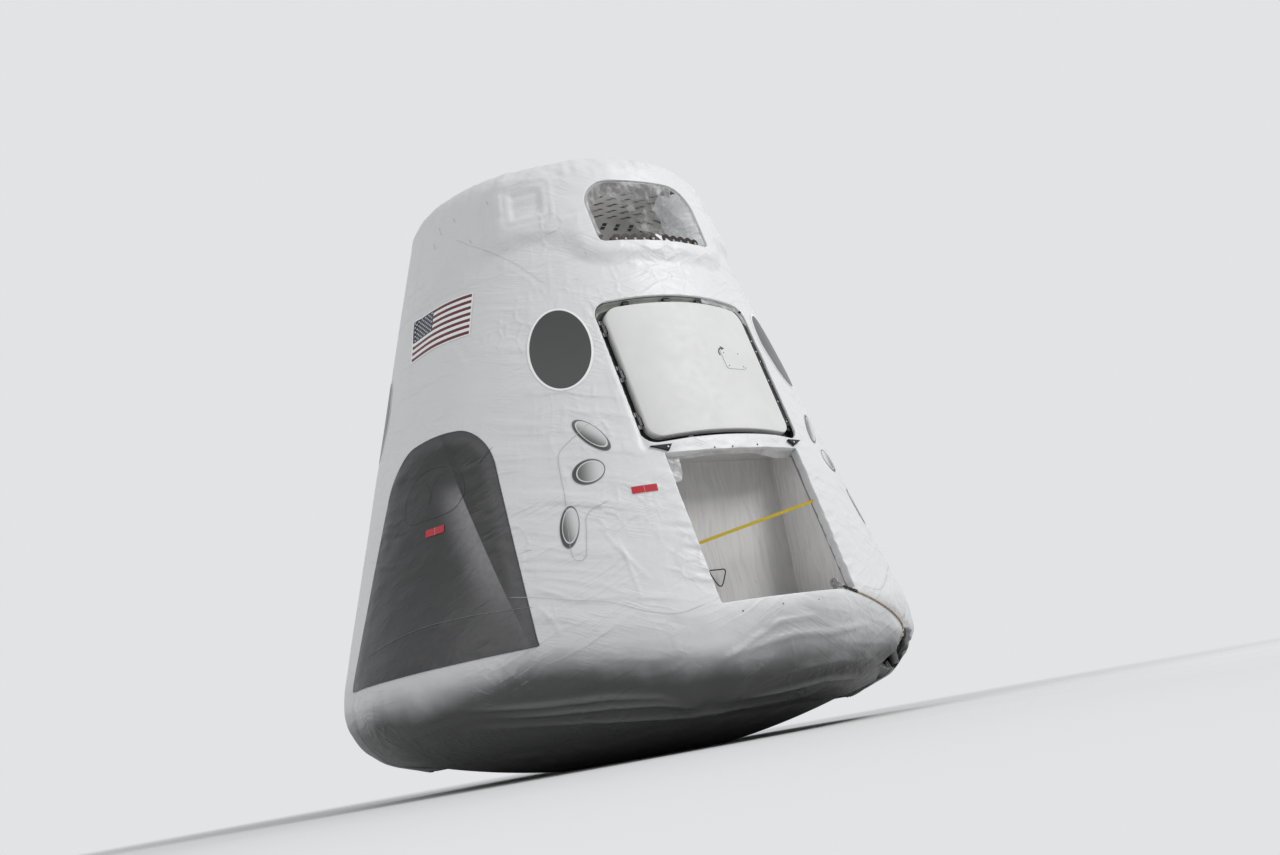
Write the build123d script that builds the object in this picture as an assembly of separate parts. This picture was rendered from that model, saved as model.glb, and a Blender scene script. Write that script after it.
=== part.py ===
"""Recovery-training space capsule, upright on its dished base, in millimetres.

+Z is up and the axis of the body. The side hatch faces -Y. Angles round the body are counted
from the hatch, positive towards +X, and heights are above the floor.
"""
from build123d import *
from math import asin, cos, degrees, radians, sin, sqrt, tan
import os

# Outline of the body
base_r = 2000
total_h = 4136
shoulder_round = 450
dish_round = 5000
foot_r = 600
wall_slope = 15.75
crown_round = 240

# Walls, and where the rings of the body part
wall_t = 60
belt_z = 800
crown_z = 3280
floor_t = 40
front_half_angle = 32
side_end_angle = 99.5

# Side hatch: the cut-out, the door in it and the frame behind it
hatch_z = 2424
cutout_w = 1240
cutout_l = 1106
cutout_corner = 100
door_side_gap = 55
door_end_gap = 49
door_t = 48
door_corner = 95
frame_t = 25
frame_lap = 20
frame_landing = 35
seal_t = 6
seal_w = 34
strip_w = 37
strip_l = 860
strip_inset = 20
strip_rise = -30
door_clearance = 7

# Hinge in the left gap of the hatch
hinge_inset = 20
hinge_pin_r = 6
hinge_barrel_r = 12
hinge_lug_t = 18
hinge_knuckle_l = 60
hinge_end_l = 30
hinge_play = 2
pin_clearance = 0.3
hinge_stations = (-400, -40, 320)

# Cover over the hatch release
cover_angle = 10.2
cover_z = 2461
cover_w = 190
cover_l = 150
cover_corner = 22
cover_t = 3

# Lower bay, open under the hatch
bay_w = 1060
bay_depth = 620
bay_plate_t = 16
lintel_l = 100

# Upper bay in the crown, a tub with a D-shaped mouth
drogue_w = 880
drogue_low_z = 3366
drogue_h = 510
drogue_top_round = 210
drogue_foot_round = 50
drogue_depth = 700
drogue_t = 15

# Raised housings on the crown
pad_rise = 45
surround_w = 1090
surround_l = 760
surround_z = 3690
surround_corner = 170
side_frame_angle = 41
side_frame_z = 3755
side_frame_w = 400
side_frame_l = 430
side_frame_corner = 60
pane_w = 240
pane_l = 250
pane_corner = 30

# Rows of riser links on the sill of the upper bay
link_row_l = 350
link_count = 5
link_end_r = 36
link_waist = 42
link_plate_t = 10
link_bush_r = 22
link_eye_r = 13
link_row_w = 56
link_gap = 40
link_set_back = 14
link_flat = 1

# Panels that lie on the skin
panel_t = 4
pod_angle = 72
pod_low_z = 736
pod_z = 1300
pod_low_half = 860
pod_high_half = 440
pod_high_z = 2250
pod_corner = 210
pod_crown = 60
window_z = 2626
window_w = 400
window_l = 600
flag_angle = -74.3
flag_z = 3066
flag_w = 630
flag_l = 330

# Tow point in the shoulder
tow_angle = 37
tow_low_z = 320
tow_high_z = 545
tow_w = 640
tow_t = 12
tow_depth = 520
tow_eye_r = 28
tow_bar_l = 388
tow_lug_t = 18
tow_lug_w = 84
tow_tube_r = 32
tow_tube_x = 190
tow_tube_lean = 90
tow_tube_depth = 164

# Tether from the sill to the tow point
sill_eye_angle = 12
sill_eye_r = 12
sill_lug_w = 60
sill_foot_w = 36
sill_lug_t = 12
sill_lug_h = 55
sill_lug_in = 60
tether_r = 7
tether_lift = 17
tether_gap = 1
tether_stops = 5
tether_end_angle = 35.2
tether_end_z = 549

# Fittings in the lower bay
loop_r = 6
loop_x = -135
loop_z = 1070
loop_w = 110
loop_h = 100
loop_stand_off = 45
strap_w = 20
strap_t = 4
strap_low_z = 1190
strap_high_z = 1423
strap_reach = 340

# Five-fold layout of what is printed or laid on the skin
windows = (  # name, angle
    ("window_front_left", -36.5),
    ("window_front_right", 36.5),
    ("window_rear_left", -108.5),
    ("window_rear_right", 108.5),
)
pods = (  # name, angle
    ("pod_front_left", -pod_angle),
    ("pod_front_right", pod_angle),
    ("pod_rear_left", -2 * pod_angle),
    ("pod_rear_right", 2 * pod_angle),
)
nozzles = (  # angle on the right side, height, width, length, turn
    (32.5, 1986, 120, 310, -39),
    (34.3, 1746, 170, 210, 75),
    (39.5, 1416, 120, 280, 8),
)

out_of_reach = 2 * base_r
inward = 0.35 * base_r
outward = 0.15 * base_r
crown_inward = 0.45 * base_r

# Circle centres and tangent points of the outline
ring_r = base_r - shoulder_round
dish_centre_z = sqrt(dish_round ** 2 - foot_r ** 2)
dish_lean = asin(ring_r / (dish_round - shoulder_round))
ring_z = dish_centre_z - (dish_round - shoulder_round) * cos(dish_lean)
lean = radians(wall_slope)


def cone_r(z):
    """Outer radius of the straight wall at a height."""
    tangent_r = ring_r + shoulder_round * cos(lean)
    tangent_z = ring_z + shoulder_round * sin(lean)
    return tangent_r - (z - tangent_z) * tan(lean)


def shoulder_r_at(z):
    """Outer radius of the shoulder at a height below its tangent to the wall."""
    return ring_r + sqrt(shoulder_round ** 2 - (z - ring_z) ** 2)


def surface_r(z):
    """Outer radius of the body at a height, wall or shoulder."""
    tangent_z = ring_z + shoulder_round * sin(lean)
    return cone_r(z) if z > tangent_z else shoulder_r_at(z)


bay_back_y = bay_depth - cone_r(belt_z)
bay_high_z = hatch_z - (cutout_l / 2 + lintel_l) * cos(lean)
drogue_back_y = drogue_depth - cone_r(drogue_low_z)
tow_back_r = base_r - tow_depth
tow_eye_at_r = tow_back_r + tow_bar_l
tow_eye_z = (tow_low_z + tow_high_z) / 2
tow_tube_at_r = base_r - tow_tube_depth


def hull(inset):
    """The whole body as one turned solid, all its faces moved inwards by inset."""
    crown_centre_z = total_h - crown_round
    crown_centre_r = cone_r(crown_centre_z) - crown_round / cos(lean)

    def on_ring(angle):
        reach = shoulder_round - inset
        return (ring_r + reach * cos(angle), 0, ring_z + reach * sin(angle))

    def on_dish(angle):
        reach = dish_round - inset
        return (reach * sin(angle), 0, dish_centre_z - reach * cos(angle))

    def on_crown(angle):
        reach = crown_round - inset
        return (crown_centre_r + reach * cos(angle), 0, crown_centre_z + reach * sin(angle))

    foot_edge = asin(sqrt((dish_round - inset) ** 2 - (dish_centre_z - inset) ** 2) / (dish_round - inset))
    right_angle = radians(90)
    under = dish_lean - right_angle
    outline = [
        Line((0, 0, inset), on_dish(foot_edge)),
        ThreePointArc(on_dish(foot_edge), on_dish((foot_edge + dish_lean) / 2), on_dish(dish_lean)),
        ThreePointArc(on_dish(dish_lean), on_ring((under + lean) / 2), on_ring(lean)),
        Line(on_ring(lean), on_crown(lean)),
        ThreePointArc(on_crown(lean), on_crown((lean + right_angle) / 2), on_crown(right_angle)),
        Line(on_crown(right_angle), (0, 0, total_h - inset)),
        Line((0, 0, total_h - inset), (0, 0, inset)),
    ]
    return revolve(make_face(outline), axis=Axis.Z)


def layer(outer_inset, inner_inset):
    """Skin of the body between two insets; an inset below zero is proud of the wall."""
    return hull(outer_inset) - hull(inner_inset)


def between(low_z, high_z):
    """Slab of space between two heights."""
    slab = Box(2 * out_of_reach, 2 * out_of_reach, high_z - low_z)
    return Pos(0, 0, (low_z + high_z) / 2) * slab


def direction(angle):
    """Outward direction of an angle round the body."""
    return (sin(radians(angle)), -cos(radians(angle)))


def sector(from_angle, to_angle):
    """Wedge of space about the axis, up to half a turn wide."""
    middle = (from_angle + to_angle) / 2
    corners = [(0, 0)]
    for angle in (from_angle, middle, to_angle):
        across, along = direction(angle)
        corners.append((across * out_of_reach, along * out_of_reach))
    wedge = make_face(Polyline(*corners, close=True))
    return extrude(wedge, amount=total_h)


def wall_plane(angle, z):
    """Plane that touches the wall: x runs round the body, y up the wall, z points out."""
    across, along = direction(angle)
    touch = (across * cone_r(z), along * cone_r(z), z)
    outward = (across * cos(lean), along * cos(lean), sin(lean))
    return Plane(origin=touch, x_dir=(-along, across, 0), z_dir=outward)


def through_wall(plane, outline, depth=inward, height=outward):
    """Prism of an outline, from well inside a touching plane to well outside it."""
    return extrude(plane.offset(-depth) * outline, amount=depth + height)


def along_y(outline, from_y, to_y):
    """Prism of an upright outline, drawn in X and Z, between two places along Y."""
    face = Plane((0, from_y, 0), x_dir=(1, 0, 0), z_dir=(0, -1, 0)) * outline
    return extrude(face, amount=from_y - to_y)


def block(x_low, x_high, y_low, y_high, z_low, z_high):
    """Box between its limits."""
    middle = ((x_low + x_high) / 2, (y_low + y_high) / 2, (z_low + z_high) / 2)
    return Pos(*middle) * Box(x_high - x_low, y_high - y_low, z_high - z_low)


def at_x(x, z, inset):
    """Point of the wall, inset from its outside, at a given X on the hatch side."""
    r = cone_r(z) - inset / cos(lean)
    return Vector(x, -sqrt(r ** 2 - x ** 2), z)


outside = hull(0)
inside = hull(wall_t)
shell = outside - inside
skin_layer = hull(-panel_t) - outside

# Hatch outlines, all on the plane that touches the wall in the middle of the hatch
hatch_plane = wall_plane(0, hatch_z)
cutout = RectangleRounded(cutout_w, cutout_l, cutout_corner)
door_w = cutout_w - 2 * door_side_gap
door_l = cutout_l - 2 * door_end_gap
door_outline = RectangleRounded(door_w, door_l, door_corner)


def grown(width, length, corner, by):
    """Rounded rectangle moved outwards all round, or inwards if by is negative."""
    return RectangleRounded(width + 2 * by, length + 2 * by, corner + by)


def bay_box(grow=0):
    """Space of the lower bay, made larger on its sides and roof and behind."""
    half = bay_w / 2 + grow
    return block(-half, half, -out_of_reach, bay_back_y + grow, belt_z, bay_high_z + grow)


def drogue_mouth(grow=0):
    """D-shaped mouth of the upper bay, drawn in X and Z."""
    half = drogue_w / 2 + grow
    low = drogue_low_z - grow
    high = drogue_low_z + drogue_h + grow
    outline = make_face(Polyline((-half, low), (half, low), (half, high), (-half, high), close=True))
    feet = outline.vertices().group_by(Axis.Y)[0]
    outline = fillet(feet, drogue_foot_round + grow)
    tops = outline.vertices().group_by(Axis.Y)[-1]
    return fillet(tops, drogue_top_round + grow)


def drogue_space(grow=0):
    """Space of the upper bay, from in front of the crown to its back wall."""
    return along_y(drogue_mouth(grow), drogue_back_y + grow, -out_of_reach)


def tow_mouth(grow=0):
    """Arched mouth of the tow point, drawn in X and Z as if it faced -Y."""
    half = tow_w / 2 + grow
    low = tow_low_z - grow
    high = tow_high_z + grow
    sill = Line((half, low), (-half, low))
    arch = ThreePointArc((-half, low), (0, high), (half, low))
    return make_face([sill, arch])


def tow_space(grow=0):
    """Space of the tow point, turned to its place round the body."""
    pocket = along_y(tow_mouth(grow), -tow_back_r + grow, -out_of_reach)
    return Rot(0, 0, tow_angle) * pocket


def heat_shield():
    """Dished plate of the base, with a flat round foot."""
    edge_r = dish_round * sin(dish_lean)
    return (shell & Pos(0, 0, ring_z / 2) * Cylinder(edge_r, ring_z)) - tow_space(tow_t)


def shoulder_ring():
    """Rolled shoulder between the dish and the belt, cut for the tow point."""
    edge_r = dish_round * sin(dish_lean)
    ring = (shell & between(0, belt_z)) - Pos(0, 0, ring_z / 2) * Cylinder(edge_r, ring_z)
    return ring - tow_space(tow_t)


def cabin_floor():
    """Deck of the cabin and of the lower bay, level with the belt."""
    return inside & between(belt_z - floor_t, belt_z)


def wall_panels():
    """Five panels of the conical wall, the front one cut for the hatch and the lower bay."""
    walls = shell & between(belt_z, crown_z)
    sides = (  # name, from angle, to angle
        ("wall_front", -front_half_angle, front_half_angle),
        ("wall_left", -side_end_angle, -front_half_angle),
        ("wall_right", front_half_angle, side_end_angle),
        ("wall_rear_left", -180, -side_end_angle),
        ("wall_rear_right", side_end_angle, 180),
    )
    panels = {}
    for name, from_angle, to_angle in sides:
        panels[name] = walls & sector(from_angle, to_angle)
    opening = through_wall(hatch_plane, cutout)
    panels["wall_front"] = panels["wall_front"] - opening - bay_box()
    return panels


def raised_pad(angle, z, outline):
    """Raised part of the crown inside an outline."""
    pad = through_wall(wall_plane(angle, z), outline, depth=crown_inward)
    return layer(-pad_rise, 0) & pad & between(crown_z, total_h + pad_rise)


def pane_space(angle):
    """Space of the pane in a side frame."""
    outline = RectangleRounded(pane_w, pane_l, pane_corner)
    return through_wall(wall_plane(angle, side_frame_z), outline)


def crown_shell():
    """Top of the body with the housings raised round the upper bay and the side panes."""
    crown = shell & between(crown_z, total_h)
    surround = RectangleRounded(surround_w, surround_l, surround_corner)
    crown += raised_pad(0, surround_z, surround)
    side_frame = RectangleRounded(side_frame_w, side_frame_l, side_frame_corner)
    for angle in (-side_frame_angle, side_frame_angle):
        crown += raised_pad(angle, side_frame_z, side_frame)
    crown -= drogue_space()
    raised = layer(-pad_rise, 0)
    for angle in (-side_frame_angle, side_frame_angle):
        crown -= raised & pane_space(angle)
    return crown


def drogue_tub():
    """Liner of the upper bay, open to the front."""
    tub = drogue_space(drogue_t) - drogue_space()
    return tub & hull(wall_t)


def riser_links(side):
    """Row of eyed link plates on bushes, outer and inner pairs in turn, along the edge of the sill."""
    edge_r = cone_r(drogue_low_z) + pad_rise / cos(lean)
    front_y = link_set_back - edge_r
    eye_z = drogue_low_z + link_end_r - link_flat
    step = (link_row_l - 2 * link_end_r) / (link_count - 1)
    face = Plane((-step * (link_count - 1) / 2, front_y, eye_z), x_dir=(1, 0, 0), z_dir=(0, -1, 0))
    row = Part()
    for place in range(link_count):
        row += extrude(face * Pos(place * step, 0) * Circle(link_bush_r), amount=-link_row_w)
    for place in range(link_count - 1):
        ends = Pos(place * step, 0) * Circle(link_end_r) + Pos((place + 1) * step, 0) * Circle(link_end_r)
        bar = Pos((place + 0.5) * step, 0) * Rectangle(step, link_waist)
        above_sill = Pos((place + 0.5) * step, link_flat) * Rectangle(2 * step, 2 * link_end_r)
        plate = (ends + bar) & above_sill
        inset = (place % 2) * link_plate_t
        for depth in (inset, link_row_w - inset - link_plate_t):
            row += extrude(face.offset(-depth) * plate, amount=-link_plate_t)
    for place in range(link_count):
        row -= extrude(face * Pos(place * step, 0) * Circle(link_eye_r), amount=-link_row_w)
    return Rot(0, 0, side * degrees((link_row_l + link_gap) / 2 / edge_r)) * row


def bay_plates():
    """Back, roof and sides of the lower bay, each a flat plate behind the wall."""
    half = bay_w / 2
    front = -out_of_reach
    back = bay_back_y + bay_plate_t
    roof_z = bay_high_z + bay_plate_t
    plates = {
        "bay_back": block(-half, half, bay_back_y, back, belt_z, bay_high_z),
        "bay_roof": block(-half - bay_plate_t, half + bay_plate_t, front, back, bay_high_z, roof_z),
        "bay_left": block(-half - bay_plate_t, -half, front, back, belt_z, bay_high_z),
        "bay_right": block(half, half + bay_plate_t, front, back, belt_z, bay_high_z),
    }
    return {name: plate & inside for name, plate in plates.items()}


def hatch_frame():
    """Frame against the inside of the wall, with a landing all round the door."""
    outer = through_wall(hatch_plane, grown(cutout_w, cutout_l, cutout_corner, frame_lap))
    inner = through_wall(hatch_plane, grown(door_w, door_l, door_corner, -frame_landing))
    return layer(wall_t, wall_t + frame_t) & (outer - inner)


def hatch_seal():
    """Rubber seal on the landing, under the edge of the door."""
    outer = through_wall(hatch_plane, grown(door_w, door_l, door_corner, seal_w / 2))
    inner = through_wall(hatch_plane, grown(door_w, door_l, door_corner, -seal_w / 2))
    return layer(wall_t - seal_t, wall_t) & (outer - inner)


def hatch_strip():
    """Rubber strip in the right gap of the hatch."""
    strip_x = door_w / 2 + door_clearance + strip_w / 2
    outline = Pos(strip_x, strip_rise) * Rectangle(strip_w, strip_l)
    return layer(strip_inset, wall_t) & through_wall(hatch_plane, outline)


def hatch_door():
    """Door as thick as the wall allows, in line with the outside of the wall."""
    return layer(0, door_t) & through_wall(hatch_plane, door_outline)


def release_cover():
    """Screwed cover over the hatch release."""
    outline = RectangleRounded(cover_w, cover_l, cover_corner)
    return layer(-cover_t, 0) & through_wall(wall_plane(cover_angle, cover_z), outline)


hinge_x = -(cutout_w + door_w) / 4
hinge_low = at_x(hinge_x, hatch_z - cutout_l / 2, hinge_inset)
hinge_high = at_x(hinge_x, hatch_z + cutout_l / 2, hinge_inset)
hinge_mid = (hinge_low + hinge_high) * 0.5
hinge_dir = (hinge_high - hinge_low).normalized()


def hinge_plane(station):
    """Plane across the hinge axis at a distance from its middle."""
    origin = hinge_mid + hinge_dir * station
    return Plane(origin=origin, x_dir=(1, 0, 0), z_dir=hinge_dir)


def hinge_barrel(station, length, side):
    """Barrel on the hinge axis with a lug to the frame (side -1) or to the door (side 1)."""
    plane = hinge_plane(station - length / 2)
    reach = door_side_gap / 2
    lug = Pos(side * reach / 2, 0) * Rectangle(reach, hinge_lug_t)
    return extrude(plane * Circle(hinge_barrel_r), amount=length) + extrude(plane * lug, amount=length)


def frame_knuckles():
    """Two barrels with their pin at each hinge station, on the edge of the cut-out."""
    offset = hinge_knuckle_l / 2 + hinge_play + hinge_end_l / 2
    solids = []
    for station in hinge_stations:
        lower = hinge_barrel(station - offset, hinge_end_l, -1)
        upper = hinge_barrel(station + offset, hinge_end_l, -1)
        span = 2 * offset
        pin = extrude(hinge_plane(station - offset) * Circle(hinge_pin_r), amount=span)
        solids.append(lower + upper + pin)
    return Compound(children=[Part() + solid for solid in solids])


def door_knuckles():
    """One bored barrel at each hinge station, on the edge of the door."""
    solids = []
    for station in hinge_stations:
        barrel = hinge_barrel(station, hinge_knuckle_l, 1)
        plane = hinge_plane(station - hinge_knuckle_l / 2)
        bore = extrude(plane * Circle(hinge_pin_r + pin_clearance), amount=hinge_knuckle_l)
        solids.append(barrel - bore)
    return Compound(children=[Part() + solid for solid in solids])


def pod_panel(angle):
    """Dark panel of an engine pod: straight sides that lean in to an arched top."""
    plane = wall_plane(angle, pod_z)
    low = (pod_low_z - pod_z) / cos(lean) - pod_low_half / 4
    high = (pod_high_z - pod_z) / cos(lean)
    shoulder = high - pod_crown
    grow = (pod_low_half - pod_high_half) / (shoulder - (pod_low_z - pod_z) / cos(lean))
    foot_half = pod_high_half + grow * (shoulder - low)
    sides = Polyline((-pod_high_half, shoulder), (-foot_half, low), (foot_half, low), (pod_high_half, shoulder))
    top = ThreePointArc((pod_high_half, shoulder), (0, high), (-pod_high_half, shoulder))
    outline = make_face([sides, top])
    corners = outline.vertices().group_by(Axis.Y)[-1]
    outline = fillet(corners, pod_corner)
    return skin_layer & through_wall(plane, outline) & between(pod_low_z, crown_z)


def window_panel(angle):
    """Dark window, an upright ellipse on the skin."""
    return skin_layer & through_wall(wall_plane(angle, window_z), Ellipse(window_w / 2, window_l / 2))


def nozzle_panels(side):
    """Three nozzles of one side (1 right, -1 left), each an ellipse on the skin."""
    solids = []
    for angle, z, width, length, turn in nozzles:
        outline = Rot(0, 0, side * turn) * Ellipse(width / 2, length / 2)
        solids.append(skin_layer & through_wall(wall_plane(side * angle, z), outline))
    return Compound(children=solids)


def flag_panel():
    """Flag on the left of the body."""
    return skin_layer & through_wall(wall_plane(flag_angle, flag_z), Rectangle(flag_w, flag_l))


def tow_recess():
    """Liner of the tow point, an arched pocket open through the shoulder."""
    return (tow_space(tow_t) - tow_space()) & outside


def tow_lug():
    """Plate with the tow eye, on the back of the recess."""
    side = Plane((-tow_lug_t / 2, 0, 0), x_dir=(0, -1, 0), z_dir=(1, 0, 0))
    eye = Pos(tow_eye_at_r, -tow_eye_z)
    bar = Pos(tow_back_r + tow_bar_l / 2, -tow_eye_z) * Rectangle(tow_bar_l, tow_lug_w)
    outline = bar + eye * Circle(tow_lug_w / 2) - eye * Circle(tow_eye_r)
    return Rot(0, 0, tow_angle) * extrude(side * outline, amount=tow_lug_t)


def tow_tube():
    """Leaning tube across the right of the recess, from its floor to its roof."""
    foot = Vector(tow_tube_x + tow_tube_lean / 2, -tow_tube_at_r, tow_low_z - tow_high_z)
    head = Vector(tow_tube_x - tow_tube_lean / 2, -tow_tube_at_r, 2 * tow_high_z)
    axis = head - foot
    tube = extrude(Plane(origin=foot, z_dir=axis) * Circle(tow_tube_r), amount=axis.length)
    return (Rot(0, 0, tow_angle) * tube) & tow_space()


def sill_lug():
    """Small plate with an eye, upright at the right end of the sill."""
    plate = Plane((sill_lug_t / 2, 0, 0), x_dir=(0, -1, 0), z_dir=(-1, 0, 0))
    eye_r = cone_r(belt_z) - sill_lug_in
    eye_z = belt_z + sill_lug_h
    eye = Pos(eye_r, eye_z)
    foot = Pos(eye_r, (belt_z + eye_z) / 2) * Rectangle(sill_foot_w, sill_lug_h)
    outline = foot + eye * Circle(sill_lug_w / 2) - eye * Circle(sill_eye_r)
    return Rot(0, 0, sill_eye_angle) * extrude(plate * outline, amount=sill_lug_t)


def around(angle, r, z):
    """Point at an angle, a radius and a height."""
    across, along = direction(angle)
    return Vector(across * r, along * r, z)


def tether_line():
    """Taut line from the sill eye over the shoulder and the rim of the recess to the tow eye."""
    route = []
    for stop in range(tether_stops):
        share = stop / (tether_stops - 1)
        angle = sill_eye_angle + share * (tether_end_angle - sill_eye_angle)
        z = belt_z + tether_lift + share * (tether_end_z - belt_z - tether_lift)
        route.append(around(angle, surface_r(z) + tether_lift, z))
    sill_eye = around(sill_eye_angle, cone_r(belt_z) - sill_lug_in, belt_z + sill_lug_h)
    tow_eye = around(tow_angle, tow_eye_at_r, tow_eye_z)
    start = sill_eye + (route[0] - sill_eye).normalized() * (sill_lug_w / 2 + tether_gap)
    end = tow_eye + (route[-1] - tow_eye).normalized() * (tow_lug_w / 2 + tether_gap)
    route = [start] + route + [end]
    section = Plane(origin=start, z_dir=route[1] - start) * Circle(tether_r)
    return sweep(section, path=Polyline(*route), transition=Transition.ROUND)


def grab_loop():
    """Three-cornered rope loop on two pegs on the back wall of the lower bay."""
    corners = ((-loop_w / 2, 0), (loop_w / 2, 0), (0, -loop_h))
    front = Plane((loop_x, bay_back_y - loop_stand_off, loop_z), x_dir=(1, 0, 0), z_dir=(0, -1, 0))
    triangle = make_face(Polyline(*corners, close=True))
    ring = offset(triangle, amount=2 * loop_r) - triangle
    loop = extrude(front * ring, amount=2 * loop_r)
    for x in (-loop_w / 4, loop_w / 4):
        peg = front * Pos(x, loop_r) * Circle(loop_r)
        loop += extrude(peg, amount=-loop_stand_off)
    return loop


def yellow_strap():
    """Webbing strap drawn tight across the lower bay, rising to the right."""
    half = bay_w / 2
    strap_y = bay_back_y - strap_reach
    left = Vector(-half, strap_y, strap_low_z)
    right = Vector(half, strap_y, strap_high_z)
    along = right - left
    section = Plane(origin=left - along * 0.1, x_dir=(0, 1, 0), z_dir=along) * Rectangle(strap_t, strap_w)
    strap = extrude(section, amount=along.length * 1.2)
    return strap & block(-half, half, -base_r, bay_back_y, belt_z, bay_high_z)


def save(name, shape):
    """Write one node."""
    export_step(shape, os.path.join("parts", name + ".step"))


os.makedirs("parts", exist_ok=True)
save("heat_shield", heat_shield())
save("shoulder_ring", shoulder_ring())
save("cabin_floor", cabin_floor())
for name, panel in wall_panels().items():
    save(name, panel)
save("crown_shell", crown_shell())
save("drogue_tub", drogue_tub())
save("riser_links_left", riser_links(-1))
save("riser_links_right", riser_links(1))
for name, plate in bay_plates().items():
    save(name, plate)
save("grab_loop", grab_loop())
save("yellow_strap", yellow_strap())
save("hatch_frame", hatch_frame())
save("hatch_seal", hatch_seal())
save("hatch_strip", hatch_strip())
save("frame_knuckles", frame_knuckles())
save("hatch_door", hatch_door())
save("door_knuckles", door_knuckles())
save("release_cover", release_cover())
for name, angle in pods:
    save(name, pod_panel(angle))
for name, angle in windows:
    save(name, window_panel(angle))
save("nozzles_left", nozzle_panels(-1))
save("nozzles_right", nozzle_panels(1))
save("flag_panel", flag_panel())
save("tow_recess", tow_recess())
save("tow_lug", tow_lug())
save("tow_tube", tow_tube())
save("sill_lug", sill_lug())
save("tether_line", tether_line())
print("hinge middle", hinge_mid, "direction", hinge_dir)
print("shoulder centre height", round(ring_z, 1), "radius at belt", round(cone_r(belt_z), 1))
print("shoulder meets dish at radius", round(dish_round * sin(dish_lean), 1), "lean", round(degrees(lean), 2))
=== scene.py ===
"""Recovery-training space capsule: stretched film skin with its prints, side hatch, bays and tow point.

Metres throughout, +Z up, and the side hatch faces -Y. Angles round the body are in degrees from
the hatch, positive towards +X. Heights are above the floor. Distances along the outline of the
body, called run, start at the lower edge of the film and end in the middle of the crown.
"""
from math import asin, cos, degrees, pi, radians, sin, sqrt, tan

import bmesh
import bpy
import numpy as np
from mathutils import Matrix, Vector


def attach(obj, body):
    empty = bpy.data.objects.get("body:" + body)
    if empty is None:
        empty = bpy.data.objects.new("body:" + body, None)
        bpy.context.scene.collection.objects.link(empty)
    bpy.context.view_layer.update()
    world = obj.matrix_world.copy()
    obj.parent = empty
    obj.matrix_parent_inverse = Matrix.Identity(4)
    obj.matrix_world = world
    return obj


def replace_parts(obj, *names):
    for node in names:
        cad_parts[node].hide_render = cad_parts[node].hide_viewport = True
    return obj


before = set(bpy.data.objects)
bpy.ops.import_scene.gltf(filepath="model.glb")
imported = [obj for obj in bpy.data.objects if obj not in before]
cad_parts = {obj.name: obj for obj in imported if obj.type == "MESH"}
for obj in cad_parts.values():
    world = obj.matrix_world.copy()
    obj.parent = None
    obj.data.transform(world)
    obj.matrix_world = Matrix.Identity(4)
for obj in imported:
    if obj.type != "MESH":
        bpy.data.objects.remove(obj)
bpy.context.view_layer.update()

# Outline of the body, as the solids have it
BASE_R = 2.0
TOTAL_H = 4.136
SHOULDER_R = 0.45
DISH_R = 5.0
FOOT_R = 0.6
CROWN_R = 0.24
LEAN = radians(15.75)
RING_R = BASE_R - SHOULDER_R
DISH_Z = sqrt(DISH_R ** 2 - FOOT_R ** 2)
DISH_LEAN = asin(RING_R / (DISH_R - SHOULDER_R))
RING_Z = DISH_Z - (DISH_R - SHOULDER_R) * cos(DISH_LEAN)
WALL_LOW_R = RING_R + SHOULDER_R * cos(LEAN)
WALL_LOW_Z = RING_Z + SHOULDER_R * sin(LEAN)
CROWN_Z = TOTAL_H - CROWN_R

# Side hatch
HATCH_Z = 2.424
CUTOUT = (1.240, 1.106, 0.100)
DOOR = (1.130, 1.008, 0.095)
HATCH_HOLE = (CUTOUT[0] + 0.006, CUTOUT[1], CUTOUT[2])
DOOR_T = 0.048
COVER = (0.190, 0.150, 0.022)
COVER_ANGLE = 10.2
COVER_Z = 2.461
COVER_T = 0.003
ARROW_INSET = -0.0007
STRIP_X = DOOR[0] / 2 + 0.007 + 0.0185
HINGE_X = -0.626
HINGE_HALF = 0.56

# Lower bay
BAY_W = 1.060
BAY_LOW_Z = 0.800
BAY_HIGH_Z = HATCH_Z - (CUTOUT[1] / 2 + 0.100) * cos(LEAN)
BAY_BACK_Y = -1.3654

# Upper bay and the raised housings round it
MOUTH_W = 0.880
MOUTH_LOW_Z = 3.366
MOUTH_H = 0.510
MOUTH_TOP_ROUND = 0.210
MOUTH_FOOT_ROUND = 0.050
HOUSING_RISE = 0.045
HOUSING = (1.090, 0.760, 0.170)
HOUSING_Z = 3.690
SIDE_HOUSING = (0.400, 0.430, 0.060)
SIDE_HOUSING_ANGLE = 41
SIDE_HOUSING_Z = 3.755
PANE = (0.240, 0.250, 0.030)
PANE_RIM = (0.345, 0.375, 0.05)

# Prints on the film
WINDOW_Z = 2.626
WINDOW = (0.400, 0.600)
WINDOW_RIM = 0.030
WINDOWS = {  # node: angle
    "window_front_left": -36.5,
    "window_front_right": 36.5,
    "window_rear_left": -108.5,
    "window_rear_right": 108.5,
}
POD_Z = 1.300
POD_LOW_Z = 0.736
POD_HIGH_Z = 2.250
POD_LOW_HALF = 0.860
POD_HIGH_HALF = 0.440
POD_CORNER = 0.210
POD_TOP_RISE = 0.06
PODS = {  # node: angle
    "pod_front_left": -72,
    "pod_front_right": 72,
    "pod_rear_left": -144,
    "pod_rear_right": 144,
}
NOZZLES = (  # angle on the right, height, width, length, turn, turn of the shine in radians
    (32.5, 1.986, 0.120, 0.310, -39, 0.3),
    (34.3, 1.746, 0.170, 0.210, 75, 1.35),
    (39.5, 1.416, 0.120, 0.280, 8, 0.6),
)
FLAG_ANGLE = -74.3
FLAG_Z = 3.066
FLAG = (0.630, 0.330)
FRONT_LABEL = (0.165, 0.054)
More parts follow.
